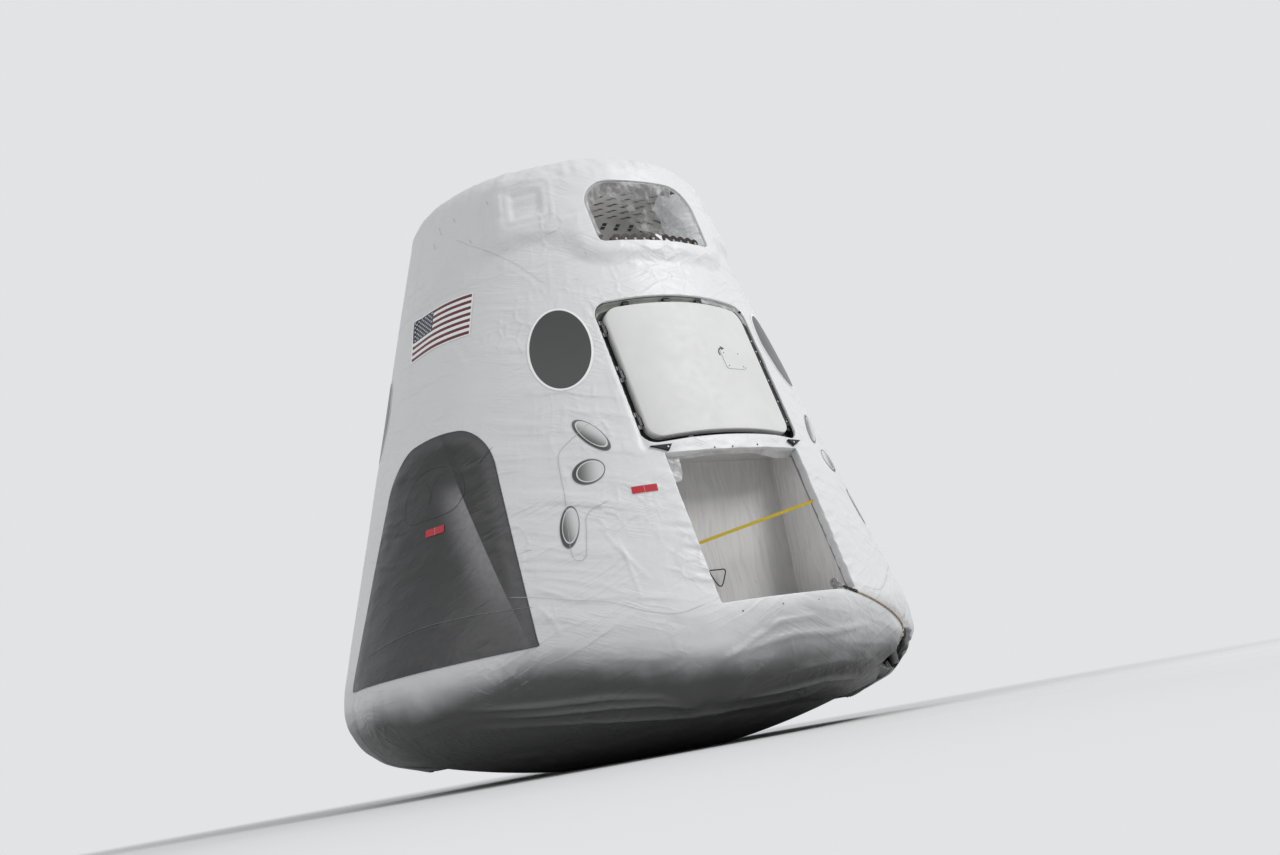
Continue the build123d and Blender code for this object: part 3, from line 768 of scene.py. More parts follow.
def rounded_outline(size, inset=0.0, steps=10, side_steps=14):
    """Points round a rounded rectangle, moved inwards by inset."""
    width, length, corner = size[0] - 2 * inset, size[1] - 2 * inset, max(size[2] - inset, 0.001)

    def on_corner(n, turn):
        """Point of corner n at a turn."""
        middle = (n + 0.5) * pi / 2
        x = (width / 2 - corner) * (1 if cos(middle) > 0 else -1)
        y = (length / 2 - corner) * (1 if sin(middle) > 0 else -1)
        return x + corner * cos(turn), y + corner * sin(turn)

    points = []
    for n in range(4):
        points += [on_corner(n, n * pi / 2 + k / steps * pi / 2) for k in range(steps + 1)]
        last = np.array(points[-1])
        first = np.array(on_corner(n + 1, (n + 1) * pi / 2))
        points += [tuple(last + (first - last) * k / side_steps) for k in range(1, side_steps)]
    return np.array(points)


def wall_slab(name, angle, z, size, outer, inner, edge, material, body="hull", place=(0, 0), sides=None):
    """Slab in line with the wall between two insets, with rounded outer edges."""
    rings = [(0.0, inner), (0.0, (inner + outer + edge) / 2), (0.0, outer + edge)]
    for k in range(1, 5):
        turn = k / 4 * pi / 2
        rings.append((edge * (1 - cos(turn)), outer + edge * (1 - sin(turn))))
    loops = [(rounded_outline(size, inset), depth) for inset, depth in rings]
    last = loops[-1][0]
    loops += [(last * (1 - k / 12), outer) for k in range(1, 12)]
    bm = bmesh.new()
    rows = [wall_row(bm, angle, z, points + place, depth) for points, depth in loops]
    bridge(bm, rows, True)
    count = len(rows[0])
    for row, depth, order in ((rows[-1], outer, 1), (rows[0], inner, -1)):
        hub = bm.verts.new(project(angle, z, place[0], place[1], depth))
        for n in range(count):
            m = (n + 1) % count
            bm.faces.new((row[n], row[m], hub) if order > 0 else (row[m], row[n], hub))
    bmesh.ops.recalc_face_normals(bm, faces=bm.faces)
    piece = finish(name, bm, material, body)
    piece.data.polygons.foreach_set("use_smooth", [True] * len(piece.data.polygons))
    piece.data.set_sharp_from_angle(angle=radians(50))
    if sides:
        piece.data.materials.append(sides)
        out = Vector((0, -cos(LEAN), sin(LEAN)))
        out.rotate(Matrix.Rotation(radians(angle), 3, "Z"))
        for face in piece.data.polygons:
            if face.normal.dot(out) < 0.6:
                face.material_index = 1
    return piece


# Node helpers

def node(tree, kind, values=(), **settings):
    """Node of a tree with its settings and input values; a value may be a socket to link from."""
    made = tree.nodes.new(kind)
    for key, value in settings.items():
        setattr(made, key, value)
    for key, value in dict(values).items():
        if isinstance(value, bpy.types.NodeSocket):
            tree.links.new(value, made.inputs[key])
        else:
            made.inputs[key].default_value = value
    return made


def feed(value, made, label):
    """Links a value to an input of a node."""
    made.id_data.links.new(value, made.inputs[label])


def maths(operation, a, b=0.0, clamp=False):
    """Output of a Math node, in the tree that its sockets belong to."""
    tree = (a if isinstance(a, bpy.types.NodeSocket) else b).id_data
    return node(tree, "ShaderNodeMath", {0: a, 1: b}, operation=operation, use_clamp=clamp).outputs[0]


def plus(a, b):
    """Sum of two values."""
    return maths("ADD", a, b)


def minus(a, b):
    """First value less the second."""
    return maths("SUBTRACT", a, b)


def times(a, b):
    """Product of two values."""
    return maths("MULTIPLY", a, b)


def size_of(a):
    """Value without its sign."""
    return maths("ABSOLUTE", a)


def length_of(a, b):
    """Length of a flat vector."""
    return maths("SQRT", plus(times(a, a), times(b, b)))


def mixed(share, a, b):
    """Output of a colour mix."""
    return node(share.id_data, "ShaderNodeMix", {0: share, 6: a, 7: b}, data_type="RGBA").outputs[2]


def ramp(value, low, high, to_low=0.0, to_high=1.0):
    """Smooth step of a value."""
    steps = {"Value": value, "From Min": low, "From Max": high, "To Min": to_low, "To Max": to_high}
    return node(value.id_data, "ShaderNodeMapRange", steps, interpolation_type="SMOOTHSTEP").outputs[0]


def cloud(here, scale, detail, roughness=0.5):
    """Noise texture, 0 to 1."""
    values = {"Vector": here, "Scale": scale, "Detail": detail, "Roughness": roughness}
    return node(here.id_data, "ShaderNodeTexNoise", values).outputs["Fac"]


def cells(here, scale):
    """Distance to the edges of a cell pattern."""
    values = {"Vector": here, "Scale": scale}
    return node(here.id_data, "ShaderNodeTexVoronoi", values, feature="DISTANCE_TO_EDGE").outputs[0]


def parts(here):
    """X, Y and Z of a vector."""
    return node(here.id_data, "ShaderNodeSeparateXYZ", {0: here}).outputs


def grey(value, warm=0.0):
    """Nearly neutral colour of a linear value."""
    return (value * (1 + warm), value, value * (1 - warm), 1)


def shader_group(name, inputs, output):
    """Empty shader node group: its tree, its inputs with their defaults, and its end with one number."""
    tree = bpy.data.node_groups.new(name, "ShaderNodeTree")
    for label, default in inputs.items():
        kind = "NodeSocketFloat" if isinstance(default, float) else "NodeSocketVector"
        tree.interface.new_socket(label, in_out="INPUT", socket_type=kind).default_value = default
    tree.interface.new_socket(output, in_out="OUTPUT", socket_type="NodeSocketFloat")
    return tree, tree.nodes.new("NodeGroupInput").outputs, tree.nodes.new("NodeGroupOutput")


def creased_group():
    """Height of folds in stretched film: streaks with sharp crests, leaning as they go along X."""
    tree, start, end = shader_group(
        "film creases", {"Vector": (0.0, 0.0, 0.0), "Across": 1.0, "Upward": 1.0, "Lean": 0.0, "Scale": 8.0,
                         "Sharpness": 2.0, "Warp": 0.1}, "Height")
    bend = node(tree, "ShaderNodeTexNoise", {"Vector": start["Vector"], "Scale": 3.0, "Detail": 1.0})
    bend = node(tree, "ShaderNodeVectorMath", {0: bend.outputs["Color"], 3: start["Warp"]}, operation="SCALE")
    moved = node(tree, "ShaderNodeVectorMath", {0: start["Vector"], 1: bend.outputs[0]}, operation="ADD")
    x, y, z = parts(moved.outputs[0])
    up = plus(z, times(x, start["Lean"]))
    stretched = node(tree, "ShaderNodeCombineXYZ", {
        0: times(x, start["Across"]), 1: times(y, start["Across"]), 2: times(up, start["Upward"])})
    raised = ramp(cloud(stretched.outputs[0], start["Scale"], 1.5), 0.25, 0.80)
    feed(maths("POWER", raised, start["Sharpness"]), end, "Height")
    return tree


def soiled_group():
    """Mask of faint soiling: broad clouds broken up by fine speckle."""
    inputs = {"Vector": (0.0, 0.0, 0.0), "Scale": 2.0, "Amount": 0.5}
    tree, start, end = shader_group("soiling", inputs, "Mask")
    broad = cloud(start["Vector"], start["Scale"], 5.0, 0.6)
    fine = cloud(start["Vector"], 60.0, 3.0)
    both = plus(ramp(broad, 0.4, 0.7), times(fine, 0.4))
    feed(maths("MULTIPLY", both, start["Amount"], True), end, "Mask")
    return tree


CREASES = creased_group()
SOILING = soiled_group()


def creases(here, across, upward, lean, scale, sharpness, warp=0.1):
    """Height of folds at a place, by the crease group."""
    values = {"Vector": here, "Across": across, "Upward": upward, "Lean": lean, "Scale": scale,
              "Sharpness": sharpness, "Warp": warp}
    return node(here.id_data, "ShaderNodeGroup", values, node_tree=CREASES).outputs[0]


def soiling(here, scale, amount):
    """Mask of faint soiling at a place, by the soiling group."""
    values = {"Vector": here, "Scale": scale, "Amount": amount}
    return node(here.id_data, "ShaderNodeGroup", values, node_tree=SOILING).outputs[0]


def new_material(name, **sockets):
    """Material, its shader and the object coordinates; sockets set plain shader values."""
    made = bpy.data.materials.new(name)
    made.use_nodes = True
    shader = next(n for n in made.node_tree.nodes if n.type == "BSDF_PRINCIPLED")
    for key, value in sockets.items():
        shader.inputs[key].default_value = value
    return made, shader, made.node_tree.nodes.new("ShaderNodeTexCoord").outputs["Object"]


def attribute(shader, number):
    """One of the values that a piece carries in its own attributes."""
    return node(shader.id_data, "ShaderNodeAttribute", attribute_name="value_%d" % number).outputs["Fac"]


def paint(shader, colour):
    """Links the base colour of a shader."""
    feed(colour, shader, "Base Color")


def bump(shader, height, distance, strength=1.0):
    """Bump from a height in metres times distance."""
    values = {"Height": height, "Distance": distance, "Strength": strength}
    feed(node(shader.id_data, "ShaderNodeBump", values).outputs[0], shader, "Normal")


def film_material(name, tone):
    """White stretched film: streaks and fine crumples in patches, faint soiling, and painted shade low down: a
    grey fade and a dark band, with painted highlights on the fold crests, glossier there.
    """
    made, shader, here = new_material(name, Roughness=0.42)
    layers = (  # across, upward, lean, scale, sharpness, depth, size of patches
        (0.30, 2.6, 0.30, 4.0, 2.2, 0.95, 1.3),
        (0.45, 5.2, -0.45, 5.0, 2.6, 0.42, 2.1),
        (2.8, 0.30, 0.10, 4.5, 2.4, 0.38, 1.7),
        (0.8, 8.5, 0.60, 6.0, 2.4, 0.20, 2.9),
    )
    height = 0.0
    for across, upward, lean, scale, sharp, depth, patch in layers:
        streaks = creases(here, across, upward, lean, scale, sharp)
        streaks = times(streaks, ramp(cloud(here, patch, 1.0), 0.42, 0.62, 0.10, 1.0))
        height = plus(times(streaks, depth), height)
    facets = cells(here, 9.0)
    where = cloud(here, 2.7, 1.0)
    height = minus(height, times(ramp(facets, 0.0, 0.22), ramp(where, 0.50, 0.66, 0.02, 0.30)))
    pore = cloud(here, 42.0, 4.0)
    soft = cloud(here, 6.0, 2.0)
    height = plus(height, times(pore, 0.08))
    height = plus(height, times(soft, 0.5))
    bump(shader, height, 0.0095)
    dirt = soiling(here, 1.6, 0.13)
    colour = mixed(dirt, tone, tuple(c * 0.82 for c in tone[:3]) + (1,))
    # Painted shade from here on: the film is painted darker towards the bottom, where the shoulder turns under
    # away from the light; the band's edge wanders and sits lower at the left.
    x, _, z = parts(here)
    edge = cloud(here, 2.0, 4.0)
    level = plus(z, times(minus(edge, 0.5), 0.20))
    level = plus(level, ramp(x, -0.6, -1.5, 0.0, -0.20))
    level = plus(level, ramp(x, -1.55, -1.85, 0.0, 0.10))
    # Painted shade: share of the grey fade just above the dark band, varying from side to side.
    dull = minus(ramp(x, -0.60, -0.15, 0.12, 0.58), ramp(x, 0.15, 0.50, 0.0, 0.18))
    dull = minus(dull, ramp(x, 0.80, 1.05, 0.0, 0.28))
    colour = mixed(times(ramp(level, 0.82, 0.62), dull), colour, grey(0.20))
    # Painted shade: the dark band low down, darker towards the right.
    dark = mixed(ramp(x, -0.6, 0.5), grey(0.044, -0.003), grey(0.018, -0.002))
    # Painted highlight: the crests of the long folds, carried in value_0, painted lighter inside the dark band
    # and fading out towards the right.
    crest = ramp(attribute(shader, 0), 0.004, 0.024, 0.0, 0.75)
    dark = mixed(times(crest, ramp(x, 0.75, 0.45)), dark, grey(0.13, -0.01))
    paint(shader, mixed(ramp(level, 0.59, 0.335, 0.0, 0.97), colour, dark))
    wet = ramp(level, 0.58, 0.36, 0.0, 0.14)
    feed(minus(plus(0.38, times(pore, 0.16)), wet), shader, "Roughness")
    return made


def plain_material(name, low, high, scale, roughness, height=0.0, **sockets):
    """Mottled finish between two colours, with fine relief."""
    made, shader, here = new_material(name, **sockets)
    paint(shader, mixed(ramp(cloud(here, scale, 5.0), 0.35, 0.68), low, high))
    fine = cloud(here, scale * 6, 3.0)
    feed(ramp(fine, 0.2, 0.8, roughness - 0.07, roughness + 0.07), shader, "Roughness")
    if height:
        bump(shader, fine, height)
    return made


def window_material():
    """Printed window: dark grey with a painted sheen that leaves it a little darker towards its upper right,
    and a pale rim.
    """
    made, shader, here = new_material("window print", Roughness=0.34)
    x, y = attribute(shader, 0), attribute(shader, 1)
    # Painted sheen: the print's grey runs from lighter at the lower left to darker at the upper right.
    fade = ramp(plus(y, times(x, 0.5)), -0.35, 0.35)
    colour = mixed(fade, grey(0.068, -0.004), grey(0.050, -0.004))
    share = plus(maths("POWER", maths("DIVIDE", x, WINDOW[0] / 2), 2.0),
                 maths("POWER", maths("DIVIDE", y, WINDOW[1] / 2), 2.0))
    paint(shader, mixed(ramp(share, 0.985, 1.01), colour, grey(0.83)))
    bump(shader, cloud(here, 14.0, 4.0), 0.0012)
    return made


def pod_material():
    """Printed pod panel: dark line, lighter border, dark blurred band, and a ridge with one sharp edge."""
    made, shader, here = new_material("pod print", Roughness=0.40)
    x, y, edge = attribute(shader, 2), attribute(shader, 1), attribute(shader, 3)
    pore = cloud(here, 30.0, 5.0)
    broad = cloud(here, 2.6, 2.0)
    tone = ramp(edge, 0.13, 0.05, 0.012, 0.037)
    tone = plus(tone, ramp(y, 0.1, -0.5, 0.0, 0.012))
    hatch_side = maths("MAXIMUM", ramp(x, -0.12, 0.10), ramp(y, 0.62, 0.76))
    band = times(ramp(edge, 0.05, 0.14), ramp(edge, 0.26, 0.17))
    band = times(times(band, hatch_side), ramp(y, -0.5, -0.1))
    tone = times(tone, minus(1.0, times(band, 0.66)))
    ridge_x = times(minus(0.569, y), 0.50)
    past = minus(x, plus(ridge_x, 0.247))
    ridge = times(ramp(past, -0.30, -0.02), ramp(past, 0.004, -0.004))
    ridge = times(maths("POWER", ridge, 1.6), ramp(y, 0.66, 0.46))
    ridge = times(ridge, ramp(y, -0.62, 0.25))
    tone = plus(tone, times(ridge, 0.185))
    beyond = times(ramp(past, 0.0, 0.01), ramp(past, 0.11, 0.01))
    beyond = times(beyond, ramp(y, -0.5, 0.3))
    tone = minus(tone, times(beyond, 0.016))
    rim = times(ramp(edge, 0.014, 0.006), ramp(edge, -0.004, 0.0))
    tone = times(tone, minus(1.0, times(rim, 0.55)))
    tone = times(tone, ramp(pore, 0.2, 0.8, 0.86, 1.14))
    tone = times(tone, ramp(broad, 0.3, 0.7, 0.88, 1.12))
    tint = {0: tone, 1: times(tone, 0.985), 2: times(tone, 1.05)}
    paint(shader, node(shader.id_data, "ShaderNodeCombineColor", tint).outputs[0])
    fine = creases(here, 0.8, 2.6, -0.5, 9.0, 2.4)
    long = creases(here, 0.5, 2.0, 0.6, 3.5, 3.0)
    height = plus(times(fine, 0.6), times(pore, 0.25))
    bump(shader, plus(height, long), 0.0050, 0.8)
    return made


def label_material(name, size, border, faded):
    """Red label with a thin pale border, split in the middle."""
    made, shader, here = new_material(name, Roughness=0.42)
    x, y = attribute(shader, 0), attribute(shader, 1)
    blot = cloud(here, 55.0, 4.0)
    red = mixed(blot, (0.50, 0.018, 0.034, 1), (0.38, 0.012, 0.024, 1))
    reach = maths("MAXIMUM", minus(size_of(x), size[0] / 2), minus(size_of(y), size[1] / 2))
    worn = plus(reach, times(minus(blot, 0.5), faded))
    colour = mixed(ramp(worn, -border, -border + 0.0008 + faded * 0.5), red, grey(0.62))
    colour = mixed(times(ramp(size_of(x), 0.0016, 0.0006), 0.6), colour, grey(0.60))
    paint(shader, colour)
    bump(shader, blot, 0.0008)
    return made


def nozzle_material(name, turn):
    """Printed thruster bell: dark rim, pale line, and a metal gradient across its inside."""
    made, shader, here = new_material(name, Roughness=0.36)
    u, v = attribute(shader, 2), attribute(shader, 3)
    reach = length_of(u, v)
    across = plus(times(u, cos(turn)), times(v, sin(turn)))
    inner_u = minus(u, 0.10 * cos(turn))
    inner_v = minus(v, 0.10 * sin(turn))
    inner = length_of(inner_u, inner_v)
    bell = mixed(ramp(across, -0.7, 0.75), grey(0.10), grey(0.60))
    rim = mixed(ramp(across, -0.9, 0.9), grey(0.05), grey(0.16))
    colour = mixed(ramp(inner, 0.78, 0.75), rim, bell)
    line = times(ramp(inner, 0.75, 0.78), ramp(inner, 0.85, 0.82))
    colour = mixed(times(line, 0.8), colour, grey(0.78))
    paint(shader, mixed(ramp(reach, 0.93, 0.97), colour, grey(0.16)))
    bump(shader, cloud(here, 25.0, 4.0), 0.0012)
    return made


def flag_material():
    """Printed flag: thirteen stripes, and rows of dots on a navy field, inside a white border."""
    made, shader, here = new_material("flag print", Roughness=0.40)
    border = 0.010
    stripes, field_stripes = 13, 7
    field_w = 0.4
    columns, rows = 12, 10
    width, height = FLAG[0] - 2 * border, FLAG[1] - 2 * border
    u = maths("DIVIDE", plus(attribute(shader, 0), width / 2), width)
    v = maths("DIVIDE", minus(height / 2, attribute(shader, 1)), height)
    stripe = maths("MODULO", maths("FLOOR", times(v, stripes)), 2.0)
    colour = mixed(stripe, (0.095, 0.002, 0.009, 1), grey(0.80))
    canton = times(maths("LESS_THAN", u, field_w), maths("LESS_THAN", v, field_stripes / stripes))
    col, row = times(u, columns / field_w), times(v, rows * stripes / field_stripes)
    near_col, near_row = maths("ROUND", col), maths("ROUND", row)
    even = minus(1.0, maths("MODULO", plus(near_col, near_row), 2.0))
    dx = times(minus(col, near_col), field_w * width / columns)
    dy = times(minus(row, near_row), field_stripes / stripes * height / rows)
    apart = length_of(dx, dy)
    inside = times(maths("GREATER_THAN", near_col, 0.5), maths("LESS_THAN", near_col, columns - 0.5))
    inside = times(inside, maths("GREATER_THAN", near_row, 0.5))
    inside = times(inside, maths("LESS_THAN", near_row, rows - 0.5))
    dot = times(times(ramp(apart, 0.0062, 0.0052), even), inside)
    field = mixed(dot, (0.008, 0.012, 0.034, 1), grey(0.75))
    colour = mixed(canton, colour, field)
    out = maths("MAXIMUM", size_of(minus(u, 0.5)), size_of(minus(v, 0.5)))
    paint(shader, mixed(maths("GREATER_THAN", out, 0.5), colour, grey(0.82)))
    bump(shader, cloud(here, 20.0, 4.0), 0.0015)
    return made


def see_through_material(name, colour, alpha, roughness=0.3):
    """Thin translucent film or tape, cloudier along its creases, with the crease crests painted lighter as
    painted highlights.
    """
    made, shader, here = new_material(name, Roughness=roughness)
    folds = creases(here, 1.0, 1.3, 0.5, 13.0, 2.0, 0.12)
    # Painted highlight: the crease crests are painted a lighter grey.
    paint(shader, mixed(folds, colour, grey(0.75)))
    feed(ramp(folds, 0.0, 1.0, alpha, min(alpha + 0.3, 1.0)), shader, "Alpha")
    bump(shader, folds, 0.006)
    return made


def bay_panel_material(name, tone):
    """Painted panel with fine upright streaks and a few scuffs."""
    made, shader, here = new_material(name)
    fine = creases(here, 6.0, 0.25, 0.0, 9.0, 1.6)
    broad = creases(here, 2.0, 0.3, 0.0, 3.0, 1.2)
    colour = mixed(fine, grey(tone, 0.012), grey(tone * 0.84, 0.012))
    colour = mixed(times(broad, 0.4), colour, grey(tone * 0.90, 0.02))
    scuff = soiling(here, 3.0, 0.12)
    paint(shader, mixed(scuff, colour, grey(tone * 0.6, 0.03)))
    feed(ramp(fine, 0.0, 1.0, 0.50, 0.66), shader, "Roughness")
    bump(shader, fine, 0.0008)
    return made


def dashed_liner_material():
    """Quilted liner of the upper bay: pale, softly puckered, with staggered pairs of short dark dashes."""
    made, shader, here = new_material("dashed bay liner", Roughness=0.5)
    row_step, dash_step = 0.098, 0.118
    x, y, z = parts(here)
    run = minus(minus(z, y), MOUTH_LOW_Z - 1.0)
    row = maths("DIVIDE", run, row_step)
    shift = times(maths("MODULO", maths("FLOOR", row), 2.0), 0.45)
    col = plus(maths("DIVIDE", plus(x, 2.0), dash_step), shift)
    across = times(minus(maths("FRACT", col), 0.5), dash_step)
    up = times(minus(maths("FRACT", row), 0.5), row_step)
    slant = plus(across, times(up, -0.75))
    from_line = size_of(minus(size_of(up), 0.015))
    from_line = maths("DIVIDE", from_line, ramp(z, 3.60, 3.74, 1.0, 1.5))
    dash = times(ramp(size_of(slant), 0.021, 0.017), ramp(from_line, 0.0100, 0.0065))
    dash = times(dash, ramp(cloud(here, 8.0, 1.0), 0.25, 0.5, 0.55, 1.0))
    cloth = cloud(here, 12.0, 4.0)
    colour = mixed(ramp(cloth, 0.35, 0.7), grey(0.88, 0.008), grey(0.78, 0.01))
    paint(shader, mixed(dash, colour, grey(0.06)))
    pucker = cells(here, 9.0)
    bump(shader, plus(times(cloth, 0.5), ramp(pucker, 0.0, 0.3)), 0.004)
    return made


def webbing_material(name, colour, dark):
    """Woven webbing: fine ribs across the strap."""
    made, shader, here = new_material(name, Roughness=0.7)
    wave = node(here.id_data, "ShaderNodeTexWave", {"Vector": here, "Scale": 90.0, "Distortion": 0.6},
                bands_direction="Z").outputs["Fac"]
    paint(shader, mixed(wave, colour, dark))
    bump(shader, wave, 0.001)
    return made


# Pieces grown by geometry nodes

def shape_tree(name, inputs):
    """Empty geometry node tree: its tree, its inputs with their defaults, and its end."""
    tree = bpy.data.node_groups.new(name, "GeometryNodeTree")
    tree.interface.new_socket("Geometry", in_out="INPUT", socket_type="NodeSocketGeometry")
    for label, default in inputs.items():
        kind = "NodeSocketInt" if isinstance(default, int) else "NodeSocketFloat"
        tree.interface.new_socket(label, in_out="INPUT", socket_type=kind).default_value = default
    tree.interface.new_socket("Material", in_out="INPUT", socket_type="NodeSocketMaterial")
    tree.interface.new_socket("Geometry", in_out="OUTPUT", socket_type="NodeSocketGeometry")
    return tree, tree.nodes.new("NodeGroupInput").outputs, tree.nodes.new("NodeGroupOutput")


def close_tree(tree, geometry, start, end, smooth_faces):
    """Ends a tree: instances made real, shading and material set."""
    real = node(tree, "GeometryNodeRealizeInstances", {"Geometry": geometry})
    shade = {"Geometry": real.outputs[0], "Shade Smooth": smooth_faces}
    shade = node(tree, "GeometryNodeSetShadeSmooth", shade).outputs[0]
    coloured = node(tree, "GeometryNodeSetMaterial", {"Geometry": shade, "Material": start["Material"]})
    feed(coloured.outputs[0], end, "Geometry")
    return tree


def fastener_tree():
    """Round heads standing along each point's aim, with a bevelled edge and a recess."""
    sizes = {"Radius": 0.005, "Height": 0.003, "Sides": 12, "Recess": 0.5, "Seed": 3}
    tree, start, end = shape_tree("fastener heads", sizes)
    disc = node(tree, "GeometryNodeMeshCircle", {"Vertices": start["Sides"], "Radius": start["Radius"]},
                fill_type="NGON").outputs[0]
    mesh, top = disc, None
    recess = times(start["Recess"], -1.0)
    for share, grow in ((0.55, 1.0), (0.45, 0.80), (0.0, 0.55), (recess, 0.92)):
        rise = times(start["Height"], share)
        pulled = node(tree, "GeometryNodeExtrudeMesh", {"Mesh": mesh, "Offset Scale": rise}, mode="FACES")
        if top is not None:
            feed(top, pulled, "Selection")
        top = pulled.outputs["Top"]
        pulled = {"Geometry": pulled.outputs["Mesh"], "Selection": top, "Scale": grow}
        mesh = node(tree, "GeometryNodeScaleElements", pulled).outputs[0]
    back = node(tree, "GeometryNodeFlipFaces", {"Mesh": disc}).outputs[0]
    join = tree.nodes.new("GeometryNodeJoinGeometry")
    feed(back, join, 0)
    feed(mesh, join, 0)
    head = node(tree, "GeometryNodeMergeByDistance", {"Geometry": join.outputs[0], "Distance": 0.00002})
    aim = node(tree, "GeometryNodeInputNamedAttribute", {"Name": "aim"}, data_type="FLOAT_VECTOR").outputs[0]
    spin = node(tree, "FunctionNodeRandomValue", {"Seed": start["Seed"]}, data_type="FLOAT")
    spin.inputs[3].default_value = 2 * pi
    about = node(tree, "ShaderNodeCombineXYZ", {"Z": spin.outputs[1]})
    own_turn = node(tree, "FunctionNodeEulerToRotation", {0: about.outputs[0]}).outputs[0]
    upright = node(tree, "FunctionNodeAlignRotationToVector", {"Rotation": own_turn, "Vector": aim}, axis="Z")
    standing = {"Points": start["Geometry"], "Instance": head.outputs[0], "Rotation": upright.outputs[0]}
    standing = node(tree, "GeometryNodeInstanceOnPoints", standing).outputs[0]
    return close_tree(tree, standing, start, end, False)


def even_curve(start):
    """The source line as a curve with points a step apart."""
    tree = start["Geometry"].id_data
    line = node(tree, "GeometryNodeMeshToCurve", {0: start["Geometry"]}).outputs[0]
    values = {"Curve": line, "Length": start["Step"]}
    return node(tree, "GeometryNodeResampleCurve", values, mode="LENGTH").outputs[0]


def round_section(start, radius):
    """Circle of a radius with the sides that the tree asks for."""
    return node(start["Sides"].id_data, "GeometryNodeCurvePrimitiveCircle",
                {"Resolution": start["Sides"], "Radius": radius}).outputs[0]


def swept(curve, section):
    """Section drawn along a curve, with closed ends."""
    return node(curve.id_data, "GeometryNodeCurveToMesh",
                {"Curve": curve, "Profile Curve": section, "Fill Caps": True})


def rope_tree():
    """Three strands laid round a line."""
    sizes = {"Radius": 0.007, "Turns per metre": 16.0, "Step": 0.006, "Sides": 7}
    tree, start, end = shape_tree("laid rope", sizes)
    even = even_curve(start)
    along = node(tree, "GeometryNodeSplineParameter").outputs["Length"]
    turn = times(along, times(start["Turns per metre"], 2 * pi))
    laid = node(tree, "GeometryNodeSetCurveTilt", {"Curve": even, "Tilt": turn}).outputs[0]
    strand = round_section(start, times(start["Radius"], 0.54))
    ring = node(tree, "GeometryNodeMeshCircle", {"Vertices": 3, "Radius": times(start["Radius"], 0.5)})
    three = node(tree, "GeometryNodeInstanceOnPoints", {"Points": ring.outputs[0], "Instance": strand})
    section = node(tree, "GeometryNodeRealizeInstances", {0: three.outputs[0]}).outputs[0]
    return close_tree(tree, swept(laid, section).outputs[0], start, end, True)


def rolled_tree():
    """Round section along a line, of a thickness that wanders."""
    sizes = {"Radius": 0.01, "Unevenness": 0.0, "Scale": 30.0, "Step": 0.008, "Sides": 10, "Seed": 5}
    tree, start, end = shape_tree("rolled edge", sizes)
    even = even_curve(start)
    wander = {"W": start["Seed"], "Scale": start["Scale"]}
    wander = node(tree, "ShaderNodeTexNoise", wander, noise_dimensions="4D")
    off = times(minus(wander.outputs[0], 0.5), start["Unevenness"])
    thick = node(tree, "GeometryNodeSetCurveRadius", {"Curve": even, "Radius": plus(1.0, times(off, 2.0))})
    rolled = swept(thick.outputs[0], round_section(start, start["Radius"]))
    for socket in rolled.inputs:
        if socket.name == "Scale":
            feed(node(tree, "GeometryNodeInputRadius").outputs[0], rolled, "Scale")
    return close_tree(tree, rolled.outputs[0], start, end, True)


FASTENERS = fastener_tree()
LAID_ROPE = rope_tree()
ROLLED = rolled_tree()


def taken_from(holder):
    """Mesh of an object as its curve or its modifiers make it; the object is removed."""
    bpy.context.view_layer.update()
    mesh = bpy.data.meshes.new_from_object(holder.evaluated_get(bpy.context.evaluated_depsgraph_get()))
    bpy.data.objects.remove(holder)
    return mesh


def grown(name, tree, source, material, body="hull", **sizes):
    """Plain mesh that a geometry node tree grows on a source mesh, riding on a body."""
    holder = in_scene(name + "_source", source)
    modifier = holder.modifiers.new("shape", "NODES")
    modifier.node_group = tree
    sockets = {item.name: item.identifier for item in tree.interface.items_tree if item.in_out == "INPUT"}
    for label, value in sizes.items():
        modifier[sockets[label.replace("_", " ")]] = value
    modifier[sockets["Material"]] = material
    mesh = taken_from(holder)
    mesh.name = name
    if not mesh.materials:
        mesh.materials.append(material)
    piece = in_scene(name, mesh)
    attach(piece, body)
    return piece


def aimed_points(points, aims):
    """Mesh of loose points with the direction that each one's head faces."""
    mesh = bpy.data.meshes.new("points")
    mesh.from_pydata([tuple(p) for p in points], [], [])
    layer = mesh.attributes.new("aim", "FLOAT_VECTOR", "POINT")
    layer.data.foreach_set("vector", np.asarray(aims, float).reshape(-1))
    return mesh


def line_mesh(points, closed=False):
    """Mesh of one line through the points."""
    mesh = bpy.data.meshes.new("line")
    count = len(points)
    edges = [(n, n + 1) for n in range(count - 1)] + ([(count - 1, 0)] if closed else [])
    mesh.from_pydata([tuple(p) for p in points], edges, [])
    return mesh


def route_mesh(points):
    """Line read from a smooth route with the points as its control points."""
    curve = bpy.data.curves.new("route", "CURVE")
    curve.dimensions = "3D"
    curve.resolution_u = 10
    spline = curve.splines.new("NURBS")
    spline.points.add(len(points) - 1)
    for point, place in zip(spline.points, points):
        point.co = (*place, 1)
    spline.order_u = 3
    spline.use_endpoint_u = True
    return taken_from(in_scene("route", curve))


def heads(name, points, aims, material, radius, height, recess, body="hull"):
    """Fastener heads at points, each facing its aim."""
    return grown(name, FASTENERS, aimed_points(points, aims), material, body, Radius=radius, Height=height,
                 Recess=recess)


def heads_on_film(name, places, material, radius, height):
    """Fastener heads on the film, at angles and heights."""
    angles = np.array([angle for angle, z in places])
    point, normal = on_body(angles, np.array([run_at(z) for angle, z in places]))
    return heads(name, point + normal * film_rise(point)[:, None], normal, material, radius, height, 0.5)


